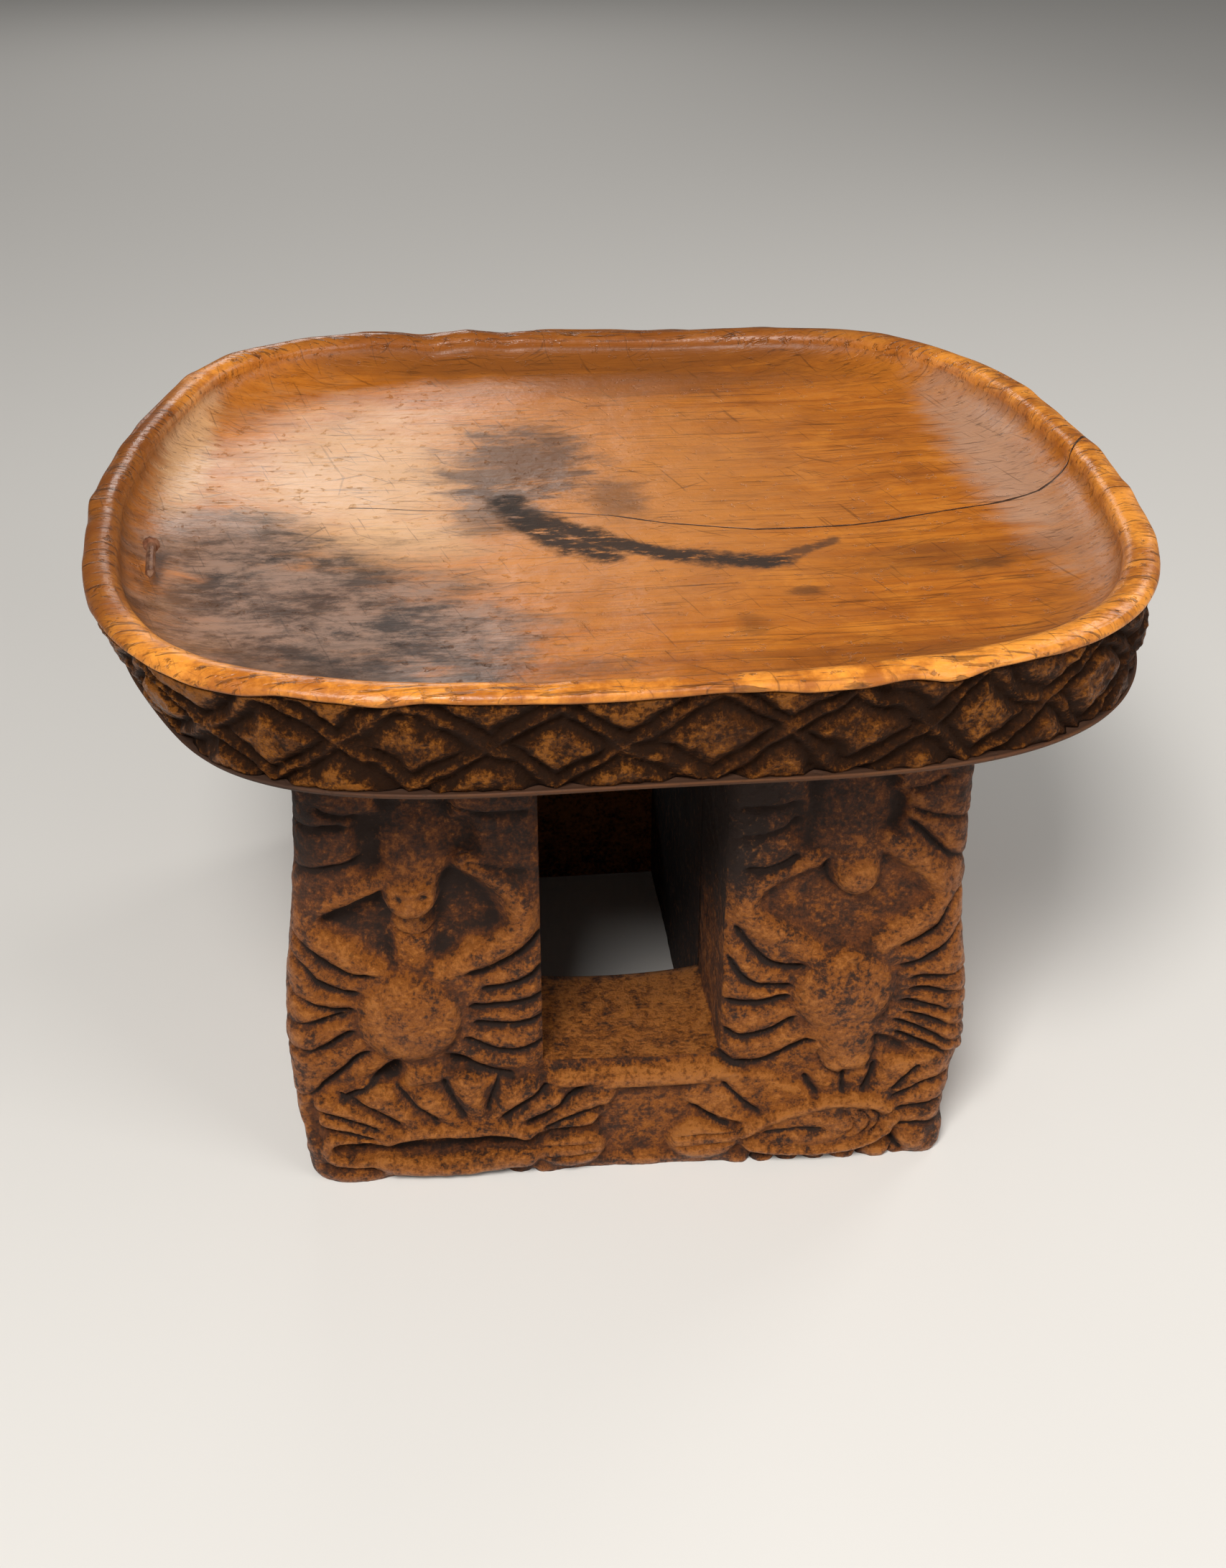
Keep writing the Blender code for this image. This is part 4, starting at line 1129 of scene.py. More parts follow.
def face_sheet():
    """Points and outward directions of the uncarved plate, and its places as seen from the front (mm)."""
    point = np.zeros((rows, columns, 3))
    out = np.zeros((rows, columns, 3))
    seen_x = np.zeros((rows, columns))
    seen_z = np.zeros((rows, columns))
    for j, z in enumerate(heights):
        lx, ly, lnx, lny, lrun = round_corner(left_edge(z), -1)
        rx, ry, rnx, rny, rrun = round_corner(right_edge(z), 1)
        start, end = left_edge(z) + CORNER, right_edge(z) - CORNER
        x = np.concatenate([start + (WINDOW[0] - start) * left_share, window_x[1:],
                            WINDOW[1] + (end - WINDOW[1]) * right_share[1:]])
        y = face_y(x)
        sx, sz = as_seen(x, y, np.full(len(x), z))
        point[j, :, 0] = np.concatenate([lx[::-1], x, rx])
        point[j, :, 1] = np.concatenate([ly[::-1], y, ry])
        out[j, :, 0] = np.concatenate([lnx[::-1], np.zeros(len(x)), rnx])
        out[j, :, 1] = np.concatenate([lny[::-1], np.full(len(x), -1.0), rny])
        seen_x[j] = np.concatenate([(sx[0] - lrun)[::-1], sx, sx[-1] + rrun])
        seen_z[j] = np.concatenate([np.full(n_side, sz[0]), sz, np.full(n_side, sz[-1])])
    point[:, :, 2] = heights[:, None]
    return point, out, seen_x * 1000, seen_z * 1000


sheet_point, sheet_out, FX, FZ = face_sheet()
TRUE_Z = sheet_point[:, :, 2] * 1000
print("face sheet:", rows, "by", columns)


# %% [markdown]
# ## Carving tools
# A bar, a dome and a field set heights, as the carver leaves wood standing or sinks the ground. Joins
# between them are soft, because old edges are worn. Grooves go into a sheet of their own, so that the finish
# can tell what was cut.


# %% Lines on the face
def through(places, steps=6):
    """A smooth line through places on the face."""
    p = np.array(places, float)
    if len(p) < 3:
        return p
    ends = np.concatenate([[2 * p[0] - p[1]], p, [2 * p[-1] - p[-2]]])
    line = []
    for k in range(1, len(ends) - 2):
        a, b, c, d = ends[k - 1:k + 3]
        for t in np.arange(steps) / steps:
            line.append(0.5 * (2 * b + (c - a) * t + (2 * a - 5 * b + 4 * c - d) * t ** 2
                               + (3 * b - a - 3 * c + d) * t ** 3))
    return np.array(line + [p[-1]])


def near_line(line, reach):
    """Points near a line: their index, distance and share along it."""
    low, high = line.min(0) - reach, line.max(0) + reach
    index = np.nonzero((FX > low[0]) & (FX < high[0]) & (FZ > low[1]) & (FZ < high[1]))
    x, z = FX[index], FZ[index]
    best = np.full(len(x), 1e9)
    share = np.zeros(len(x))
    lengths = np.hypot(*np.diff(line, axis=0).T)
    before = np.concatenate([[0.0], np.cumsum(lengths)])
    for k, (a, b) in enumerate(zip(line, line[1:])):
        d = b - a
        t = np.clip(((x - a[0]) * d[0] + (z - a[1]) * d[1]) / max(d @ d, 1e-9), 0, 1)
        gap = np.hypot(x - a[0] - t * d[0], z - a[1] - t * d[1])
        closer = gap < best
        best[closer] = gap[closer]
        share[closer] = (before[k] + t[closer] * lengths[k]) / before[-1]
    return index, best, share


print("lines on the face ready")


# %% Bars, domes and fields
def smooth_max(a, b, soft):
    """The higher of two heights, with a soft join."""
    return 0.5 * (a + b + np.sqrt((a - b) ** 2 + soft * soft))


SOFT_JOIN = 0.8
BAR_FULLNESS = 0.75


def bar(height, places, radius, top, soft=SOFT_JOIN):
    """A rounded bar along a line; radius and top may run from one value to another."""
    r0, r1 = radius if isinstance(radius, tuple) else (radius, radius)
    t0, t1 = top if isinstance(top, tuple) else (top, top)
    index, gap, share = near_line(through(places), max(r0, r1))
    r = r0 + (r1 - r0) * share
    crown = t0 + (t1 - t0) * share
    inside = gap < r
    rise = crown - BAR_FULLNESS * (r - np.sqrt(np.maximum(r * r - gap * gap, 0)))
    old = height[index]
    height[index] = np.where(inside, smooth_max(old, rise, soft), old)


def dome(height, centre, size, top, edge, flatness=1.0, tilt=0.0):
    """A round swelling with a top and an edge level."""
    c, s = math.cos(math.radians(tilt)), math.sin(math.radians(tilt))
    dx, dz = FX - centre[0], FZ - centre[1]
    q = ((c * dx + s * dz) / size[0]) ** 2 + ((c * dz - s * dx) / size[1]) ** 2
    rise = edge + (top - edge) * np.sqrt(np.maximum(1 - q ** flatness, 0))
    np.copyto(height, np.where(q < 1, smooth_max(height, rise, SOFT_JOIN), height))


def field(height, corners, level, soft):
    """Set the level inside a closed outline, with a soft edge."""
    line = through(list(corners) + [corners[0]], 3)
    index, gap, _ = near_line(line, soft * 2 + 1)
    inside = np.zeros(FX.shape, bool)
    for a, b in zip(line, line[1:]):
        if a[1] != b[1]:
            crossing = a[0] + (b[0] - a[0]) * (FZ - a[1]) / (b[1] - a[1])
            inside ^= ((FZ >= a[1]) != (FZ >= b[1])) & (FX < crossing)
    depth = np.where(inside, 1e3, -1e3)
    depth[index] = np.where(inside[index], gap, -gap)
    share = smooth_step(depth, -soft, soft)
    np.copyto(height, height * (1 - share) + level * share)


print("bars, domes and fields ready")

# %% Grooves
SHOULDER = 1.7
CREASE = 0.65
END_FADE = 0.12
LEFT_AT_END = 0.25


def groove(cut, places, depth, width):
    """A crease between rounded shoulders, along a line that fades out at both ends; the deeper cut wins."""
    index, gap, share = near_line(through(places), SHOULDER * width)
    ends = np.clip(share / END_FADE, LEFT_AT_END, 1) * np.clip((1 - share) / END_FADE, LEFT_AT_END, 1)
    near = np.clip(1 - gap / (SHOULDER * width), 0, 1)
    crease = np.clip(1 - gap / (CREASE * width), 0, 1)
    sunk = depth * ends * (0.95 * (1 - np.sqrt(1 - near ** 2)) + 0.25 * crease)
    cut[index] = np.maximum(cut[index], sunk)


def grooves(cut, lines, depth, width):
    """Equal grooves along several lines."""
    for line in lines:
        groove(cut, line, depth, width)


print("grooves ready")


# %% [markdown]
# ## Left figure
# The left figure has a broad flat head, a snout with two nostrils that stands far out, a ringed neck, two
# bent forelegs round a deep recess, and a round belly with curved legs on both sides like ribs. The legs
# are the wood left between grooves, so only their grooves are drawn.

# %% Places of the left figure
LEG_GROOVE = (6.0, 4.0)
NOSTRILS = ((-113.5, 177.0), (-102.5, 177.0))
NOSTRIL_DEPTH = 3.8
NOSTRIL_RADIUS = 5.2
LEFT_RECESS = (
    (-122, 181), (-135, 174), (-150, 168.5), (-156, 165.5), (-147, 160), (-138, 155), (-130, 146),
    (-123, 138), (-116, 133), (-98, 133), (-90, 143), (-80, 149), (-71, 151.5), (-66.5, 158), (-69.5, 168),
    (-75, 177), (-83, 184), (-91, 188.5), (-118, 187))
LEFT_LEGS = (
    ((-176, 158), (-166, 154), (-160, 150), (-152, 144), (-145, 137), (-139, 132.7), (-131, 131.5),
     (-123, 131)),
    ((-178, 150), (-166, 142), (-160, 137), (-155, 131), (-148, 125.3), (-140, 121.6), (-132, 121)),
    ((-180, 131), (-170, 124), (-162, 120), (-155, 116), (-148, 112.3), (-140, 111.5), (-134, 112)),
    ((-182, 112), (-172, 108.5), (-158, 107.5), (-148, 108.3), (-138, 110)),
    ((-184, 96), (-170, 93), (-160, 91.5), (-152, 92.5), (-145, 96), (-136, 100.5)),
    ((-180, 62), (-168, 64), (-158, 68), (-150, 73), (-143, 79), (-138, 84), (-129, 88)),
    ((-150, 59), (-138, 64), (-130, 70), (-124, 75.5), (-120, 80)),
    ((-47, 152), (-54, 144), (-60, 138.5), (-68, 134), (-76, 130.7), (-87, 129)),
    ((-47, 131), (-57, 123.5), (-64, 120.7), (-70, 119.6), (-80, 119.5)),
    ((-47, 114), (-58, 110.6), (-66, 109.6), (-75, 109.5), (-86, 110)),
    ((-47, 101), (-60, 97.6), (-66, 97.5), (-73, 98.5), (-84, 101)),
    ((-47, 86), (-53, 84), (-60, 82), (-66, 81.7), (-72, 83), (-78, 86), (-83, 89.5), (-89, 93)),
    ((-62, 66), (-72, 69), (-80, 73), (-88, 78), (-96, 83)),
)
print("left figure:", len(LEFT_LEGS), "grooves between its legs")


# %% Left figure
def carve_left(height, cut):
    """Heights of the left figure, in millimetres below the highest surface."""
    field(height, ((-131, 218), (-120, 218), (-118, 192), (-123, 189), (-131, 193)), -11.0, 3.5)
    field(height, ((-89, 216), (-80, 214), (-77, 197), (-83, 190), (-91, 191)), -9.5, 3.5)
    field(height, LEFT_RECESS, -13.5, 5.0)
    bar(height, ((-118, 186), (-128, 182), (-140, 177), (-151, 172.5), (-160, 167)), (5.5, 7.5), -3.0, 1.5)
    bar(height, ((-162, 165), (-157, 158.5), (-149, 151), (-142, 143.5), (-134, 137.5), (-126, 133)),
        (8.0, 7.0), (-2.0, -3.0), 1.5)
    bar(height, ((-83, 193), (-72, 186), (-63, 177), (-58, 167), (-58, 156), (-65, 147), (-76, 141),
                 (-86, 136), (-97, 131)), (5.5, 7.8), (-2.0, -3.0), 1.5)
    bar(height, ((-108, 160), (-108, 128)), 10.0, -6.0, 1.5)
    slope = -3.5 - 0.14 * (FZ - 184) - 0.012 * (FX + 105) ** 2
    field(height, ((-120, 230), (-120.5, 197), (-117, 188), (-112, 180), (-99, 180), (-92.5, 187),
                   (-87.5, 198), (-88.5, 206), (-91, 230)), slope, 2.2)
    bar(height, ((-105, 208), (-106, 193), (-108, 177)), (17.0, 12.0), (-7.0, 0.6), 1.5)
    dome(height, (-108, 176.0), (13.0, 12.6), 2.4, -11.0, 1.8)
    dome(height, (-112, 108.0), (26.0, 26.2), 3.2, -7.5, 1.1)
    dome(height, (-107, 70), (11.5, 10.5), -1.5, -9.0)
    field(height, ((-131, 68), (-124, 77), (-118.5, 80.5), (-117, 71), (-123, 66)), -14.0, 2.5)
    field(height, ((-96, 82), (-87, 79), (-84, 72), (-92, 69)), -12.0, 2.5)
    for x, z in NOSTRILS:
        near = np.clip(1 - np.hypot(FX - x, FZ - z) / NOSTRIL_RADIUS, 0, 1)
        np.maximum(cut, NOSTRIL_DEPTH * near ** 1.1, out=cut)
    groove(cut, ((-114, 184), (-108, 182), (-101, 184)), 1.0, 2.4)
    groove(cut, ((-118, 157), (-113, 154), (-107, 153), (-101, 154), (-96, 157)), 2.4, 2.2)
    groove(cut, ((-132, 119), (-125, 128), (-112, 132.5), (-99, 128), (-92, 119)), 1.4, 2.6)
    grooves(cut, LEFT_LEGS, *LEG_GROOVE)
    groove(cut, ((-182, 214), (-165, 213.5), (-150, 212.5), (-132, 213)), 4.5, 4.0)
    groove(cut, ((-184, 191), (-165, 191.5), (-150, 191.5), (-138, 192.5), (-126, 196)), 5.0, 4.0)
    groove(cut, ((-152, 224), (-140, 219), (-128, 217)), 3.0, 3.5)
    groove(cut, ((-92, 222), (-78, 217), (-60, 216), (-50, 217)), 2.5, 3.5)
    groove(cut, ((-86, 193), (-76, 191), (-64, 186), (-52, 184)), 2.6, 4.0)
    groove(cut, ((-134, 118), (-137, 107), (-134, 94), (-125, 83)), 1.6, 2.6)
    groove(cut, ((-90, 118), (-87, 107), (-90, 94), (-98, 83)), 1.6, 2.6)


print("left figure ready")


# %% [markdown]
# ## Right figure
# Its neighbour differs: the head narrows straight into a smooth shiny nose, the recess round it is shallow,
# and the belly tapers down to a second bulb above the sill.

# %% Places of the right figure
FINE_LEG_GROOVE = (5.2, 3.6)
RIGHT_RECESS = (
    (72, 182), (60, 177), (52, 169), (50, 159), (53, 152), (62, 147), (72, 140), (80, 133), (90, 130),
    (104, 130), (112, 136), (119, 140.5), (127, 148), (134, 158), (130, 165), (126, 171), (119, 177.5),
    (112, 184), (106, 187), (82, 187))
RIGHT_INNER_LEGS = (
    ((40, 149), (46, 140), (51, 132.5), (57, 126), (63, 122.4), (72, 121), (80, 121.5)),
    ((38, 131), (43, 122), (47, 116), (52, 112), (58, 110.6), (66, 110), (73, 110.3)),
    ((37, 104), (44, 102), (52, 101), (58, 101.5), (64, 103), (72, 103.5)),
    ((37, 88), (42, 83), (47, 81), (55, 82), (62, 84.5), (68, 88), (75, 92.5)),
    ((35, 72), (42, 66), (50, 63.5), (58, 64.5), (66, 68), (72, 72), (80, 76), (86, 79)),
)
RIGHT_OUTER_LEGS = (
    ((166, 165), (156, 160), (149, 155), (145, 148), (140, 140.5), (134, 135), (128, 131), (119, 129)),
    ((168, 148), (158, 141), (152, 136), (147, 131), (141, 126), (134, 121), (127, 118.6), (119, 118)),
    ((170, 114), (158, 112.5), (144, 111), (136, 110.5), (126, 110)),
    ((170, 99), (156, 101), (145, 102), (136, 103.2), (126, 103)),
    ((172, 91), (152, 91), (145, 92), (140, 92.7), (134, 94.5), (128, 96.5), (121, 97.5)),
    ((172, 79), (158, 81), (146, 83.5), (134, 87.5), (124, 91)),
    ((172, 71), (155, 72), (148, 73.5), (140, 77), (132, 81), (126, 84), (119, 88)),
    ((170, 62), (155, 64), (142, 68), (130, 74), (120, 80)),
)
print("right figure:", len(RIGHT_INNER_LEGS + RIGHT_OUTER_LEGS), "grooves between its legs")


# %% Right figure
def carve_right(height, cut):
    """Heights of the right figure, in millimetres below the highest surface."""
    field(height, ((71, 215), (76, 206), (79, 192), (73, 188), (66, 196), (66, 212)), -9.5, 3.5)
    field(height, ((111, 217), (119, 214), (118, 199), (112, 190), (109, 198)), -10.5, 3.5)
    field(height, RIGHT_RECESS, -9.5, 5.5)
    bar(height, ((78, 183), (66, 178.5), (55, 173), (47.5, 164), (47.5, 155), (54, 147.5), (64, 141),
                 (72, 135), (79, 129)), (6.0, 7.5), (-3.5, -3.0), 1.5)
    bar(height, ((110, 191), (120, 185), (130, 177), (138, 168), (142, 158.5), (137, 151), (129, 144.5),
                 (121, 138.5), (114, 134)), (6.5, 7.5), (-2.5, -3.5), 1.5)
    slope = -3.5 - 0.12 * (FZ - 184) - 0.012 * (FX - 95) ** 2
    field(height, ((73, 230), (74.5, 206), (78, 193), (83, 182), (89, 176), (102, 176), (107.5, 183),
                   (109.5, 198), (112, 230)), slope, 2.4)
    bar(height, ((96, 208), (96.5, 192), (97.5, 177)), (18.0, 11.5), (-6.0, 0.5), 1.5)
    dome(height, (97.5, 174.0), (12.0, 12.2), 2.8, -11.0, 1.2)
    dome(height, (95.0, 107), (25.0, 24.5), 3.0, -7.5, 1.1)
    dome(height, (96.5, 84), (17.5, 25.0), 0.8, -8.0)
    dome(height, (99, 65), (14.0, 13.0), -0.5, -9.0)
    field(height, ((112, 77), (117, 71), (123, 65), (133, 61.5), (131, 67), (121, 75)), -12.0, 2.5)
    groove(cut, ((85, 184), (83.5, 177), (86, 168.5), (91, 163.5)), 2.4, 3.4)
    groove(cut, ((84, 187.5), (89, 187), (95, 186)), 1.2, 1.8)
    groove(cut, ((44, 178), (52, 177.5), (58, 178.5), (64, 181), (72, 185.5)), 4.8, 4.0)
    groove(cut, ((118, 202), (124, 197), (129, 192), (135, 185.5), (141, 182), (150, 179), (166, 174)),
           5.0, 4.5)
    groove(cut, ((119, 209), (126, 204.5), (134, 202), (150, 200), (166, 199)), 3.4, 4.0)
    groove(cut, ((118, 216), (128, 218), (138, 224)), 2.6, 3.5)
    groove(cut, ((40, 196), (52, 196), (62, 199), (72, 204)), 2.8, 4.0)
    groove(cut, ((40, 212), (55, 211), (70, 212)), 2.6, 4.0)
    grooves(cut, RIGHT_INNER_LEGS, *LEG_GROOVE)
    grooves(cut, RIGHT_OUTER_LEGS, *FINE_LEG_GROOVE)
    groove(cut, ((85.5, 76), (85.5, 67), (89.5, 60), (95, 55.5), (101, 53.5)), 2.6, 3.0)
    groove(cut, ((113.5, 78), (114, 68), (110, 58)), 2.4, 3.0)
    groove(cut, ((71, 118), (70.5, 107), (73.5, 95), (81, 86)), 1.6, 2.8)
    groove(cut, ((121, 118), (122, 107), (119, 95), (113, 86)), 1.6, 2.8)


print("right figure ready")


# %% [markdown]
# ## Creatures on the sill
# Below the window, two long creatures lie along the sill with their heads towards the middle. Their legs
# fan out above them like broad leaves that lie side by side, so each fan is one raised field with a groove
# between the leaves, and low scallops run along the foot below.

# %% Places of the leaves
LEAF_GROOVE = (4.6, 3.4)
LEAF_TOP = (-2.4, -0.6)
# the middle line of each leaf, and its half width at both ends
LEAVES = (
    (((-127, 41), (-144, 53), (-158, 59.5)), (4.0, 5.5)),
    (((-129, 37.5), (-145, 44), (-157, 50)), (3.0, 4.5)),
    (((-111, 42), (-121, 52), (-132, 62)), (5.0, 8.0)),
    (((-89, 41), (-98, 49), (-107, 57)), (5.0, 8.0)),
    (((-83, 47), (-85, 57), (-86, 66)), (6.0, 8.5)),
    (((-76, 45), (-66, 54), (-57, 61)), (4.0, 6.5)),
    (((-70, 40), (-57, 47), (-46, 53)), (4.0, 6.0)),
    (((-52, 35), (-35, 45), (-22, 54)), (4.0, 7.5)),
    (((-54, 33), (-40, 36.5), (-28, 39)), (2.5, 4.0)),
    (((53, 31), (39, 39), (27, 49)), (4.0, 7.5)),
    (((79, 43), (66, 46.5), (48, 51)), (3.5, 6.0)),
)
LEFT_LEAF_LINES = (
    ((-128, 39.5), (-145, 48.5), (-158, 54.5), (-168, 57)),
    ((-118, 41), (-132, 53), (-145, 61), (-150, 66)),
    ((-100, 41), (-109, 51), (-118, 61), (-122, 68)),
    ((-87, 43), (-93, 54), (-97, 64), (-98, 70)),
    ((-78, 46), (-75, 55), (-72, 64), (-71, 70)),
    ((-72, 42), (-62, 50), (-51, 58), (-46, 62)),
    ((-60, 37), (-47, 45), (-35, 54), (-28, 60)),
    ((-52, 33.5), (-40, 39.5), (-30, 44), (-18, 47)),
    ((-130, 35), (-145, 40), (-158, 44), (-168, 46)),
    ((-58, 30.5), (-44, 33), (-30, 35), (-20, 37)),
)
LEFT_SCALLOPS = ((-119, 4.0), (-105, 3.5), (-90, 3.0), (-76, 3.0), (-63, 3.5))
print("leaves:", len(LEAVES))


# %% Left creature and all leaves
def carve_left_creature(height, cut):
    """Heights of the sill's edge, of all leaves and of the left creature."""
    bar(height, ((-42, 61.5), (-5, 62), (20, 61.5), (41, 60)), 7.0, -1.5, 1.5)
    groove(cut, ((-36, 57), (-15, 56.5), (10, 55.5), (34, 55)), 1.8, 4.0)
    field(height, ((-56, 31), (-40, 34), (-24, 36), (-16, 50), (-20, 59), (-40, 60), (-62, 66), (-85, 72),
                   (-110, 68), (-130, 66), (-165, 63), (-165, 34), (-128, 33)), -5.5, 2.5)
    for line, reach in LEAVES:
        bar(height, line, reach, LEAF_TOP, 1.0)
    grooves(cut, LEFT_LEAF_LINES, *LEAF_GROOVE)
    bar(height, ((-126, 36.5), (-113, 38.8), (-100, 38.6), (-87, 37.6), (-76, 38.2), (-65, 36.2), (-58, 33)),
        4.4, 0.0)
    field(height, ((-156, 34), (-127, 31.3), (-109, 33.5), (-82, 31.5), (-60, 28), (-59, 23.6), (-82, 22),
                   (-110, 22.7), (-127, 25.3), (-153, 28.9)), -11.0, 2.2)
    bar(height, ((-128, 20.7), (-115, 16.8), (-99, 15.5), (-82, 16.6), (-59, 19)), 6.6, 0.5, 1.2)
    bar(height, ((-126, 35), (-142, 37.6), (-154, 36.2), (-157, 30.7), (-154, 25), (-143, 21.8),
                 (-130, 22.5)), 3.8, -1.0)
    bar(height, ((-64, 20), (-48, 20)), 6.0, -3.0, 1.2)
    dome(height, (-36.5, 20.8), (17.0, 11.6), 0.0, -7.0, 2.0)
    dome(height, (-144, 12.5), (20.0, 7.0), -2.0, -8.0, 1.5)
    groove(cut, ((-166, 21), (-150, 18.5), (-138, 17.5), (-127, 16)), 3.4, 2.6)
    groove(cut, ((-124, 11), (-105, 9.2), (-90, 8.6), (-72, 9.5), (-58, 11.5)), 4.2, 2.8)
    groove(cut, ((-52, 24), (-40, 25), (-24, 24)), 2.6, 1.8)
    groove(cut, ((-52, 18.5), (-38, 18), (-22, 18.5)), 2.6, 1.8)
    bar(height, ((-51, 8), (-46, 5), (-41, 2)), 4.0, -3.0, 1.2)
    for x, z in LEFT_SCALLOPS:
        dome(height, (x, z), (7.5, 6.5), -2.5, -8.0)
        groove(cut, ((x + 8, 9), (x + 5.5, 1)), 3.4, 2.2)


print("left creature ready, with", len(LEFT_LEAF_LINES), "grooves between its leaves")

# %% Right creature
RIGHT_LEAF_LINES = (
    ((22, 43), (30, 35.5), (37, 30.5), (44, 27.5)),
    ((37, 56.5), (45, 46.5), (52, 38.5), (59, 33.5)),
    ((79, 55), (82, 49), (87, 42.5)),
    ((98, 58), (98.5, 51), (99, 43)),
    ((115, 60), (112, 51), (108, 42)),
    ((123, 42), (130, 50), (138, 59)),
    ((121, 37), (133, 43), (148, 49), (165, 52)),
    ((124, 31), (138, 32), (150, 34), (166, 36)),
    ((122, 22), (134, 20.5), (150, 20), (166, 20)),
    ((121, 17), (127, 9.5), (132, 3)),
)
RIGHT_SCALLOPS = ((47, 3.0), (60, 2.5), (73, 2.0), (87, 1.8), (102, 2.2), (119, 3.5))


def carve_right_creature(height, cut):
    """Heights of the right creature, whose long body lies between two raised edges."""
    field(height, ((57, 32), (44, 33), (22, 44), (20, 52), (34, 58), (50, 60), (66, 56), (84, 46), (80, 41)),
          -4.5, 2.5)
    field(height, ((112, 41), (117, 60), (130, 64), (165, 62), (165, 18), (122, 19), (120, 32)), -3.5, 2.5)
    field(height, ((88, 43), (84, 56), (98, 60), (112, 57), (110, 43)), -5.0, 2.5)
    grooves(cut, RIGHT_LEAF_LINES, *LEAF_GROOVE)
    dome(height, (89, 24.8), (39.5, 14.8), 0.0, -8.0, 1.2, 8.0)
    bar(height, ((49, 24), (60, 31), (72, 35), (84, 39), (99, 40.5), (113, 38.5), (122, 34)), 3.4, 0.6)
    bar(height, ((53, 15), (68, 11.4), (85, 9.4), (101, 10.6), (113, 14.5), (123, 21), (126, 28)), 3.2, 0.6)
    groove(cut, ((57, 21.4), (68, 23.5), (80, 24.5), (92, 23)), 3.6, 4.6)
    dome(height, (30, 20.5), (18.5, 12.8), -1.0, -7.0, 2.0)
    groove(cut, ((15, 24), (29, 25), (45, 24)), 2.0, 1.8)
    groove(cut, ((14, 18), (29, 18), (46, 18.5)), 2.0, 1.8)
    bar(height, ((46, 19), (58, 20)), 6.0, -4.0, 1.2)
    dome(height, (138, 10.5), (11.0, 9.5), -2.0, -8.0)
    for x, z in RIGHT_SCALLOPS:
        dome(height, (x, z), (7.5, 6.2), -2.5, -8.0)
        groove(cut, ((x + 8, 8), (x + 5.5, 0)), 3.4, 2.2)
    groove(cut, ((50, 9.5), (65, 7.6), (82, 6.4), (100, 6.8), (112, 9.5)), 3.6, 2.6)
    groove(cut, ((112, 35.5), (118, 29.3), (117, 22.3), (112, 16.3)), 3.0, 2.2)
    groove(cut, ((105, 35), (112, 30), (113, 22.7), (108, 17.5)), 3.0, 2.2)
    groove(cut, ((98, 35.5), (104, 30), (105, 24), (101, 19)), 2.4, 2.2)


print("right creature ready,", len(RIGHT_LEAF_LINES), "grooves between its leaves")


# %% [markdown]
# ## From heights to wood
# The blank plate is already a little rounded: it falls away at the window's edges and at the foot. The
# figures are added, the grooves are cut, a light blur wears the edges, and old tool marks make it uneven.
# Two more numbers come from the heights: a point above its surroundings is worn, and one in a groove or on
# sunk ground is deep. Painted light and shade join them: under the seat's overhang and beside the window's
# right edge the wood is painted dark as painted shade, the sill's front edge gets a painted highlight, and
# the base is painted a little lighter towards the right.


# %% Blur and shade
def box_blur(values, radius):
    """Mean over a square neighbourhood, used twice for a soft result."""
    size = 2 * radius + 1
    for _ in range(2):
        for axis in (0, 1):
            widths = [(radius + 1, radius) if a == axis else (0, 0) for a in (0, 1)]
            padded = np.pad(values, widths, mode="edge")
            total = np.cumsum(padded, axis=axis)
            ahead = np.take(total, np.arange(size, padded.shape[axis]), axis=axis)
            behind = np.take(total, np.arange(0, padded.shape[axis] - size), axis=axis)
            values = (ahead - behind) / size
    return values


SHADE_FROM = 150
SHADE_TO = 226
SHADE_DROP = 18
SHADE_WEAKER = 0.30
SHADE_WEAR = 0.55
SHADE_DEEP = 0.62


def under_seat(z, left, right):
    """The seat's shade at a height in mm, lower towards the left and weaker towards the right."""
    return smooth_step(z + SHADE_DROP * left, SHADE_FROM, SHADE_TO) * (1 - SHADE_WEAKER * right)


print("shade below the seat begins at", SHADE_FROM, "mm")

# %% Carve one face
WIN_LEFT = WINDOW[0] * 1000
WIN_RIGHT = WINDOW[1] * 1000
SILL_MM = SILL_TOP * 1000
MIDDLE_MM = BASE_X * 1000
FULL_HEIGHT = 4.0


def ground_level():
    """Height of the blank plate, higher above the sill and at the foot, and level where the sides begin."""
    wrap = smooth_step(np.abs(FX - MIDDLE_MM), 138, 168)
    return (-8.0 + 2.5 * smooth_step(TRUE_Z, 58, 76) + 3.2 * smooth_step(-TRUE_Z, -10, -5)) * (1 - wrap)


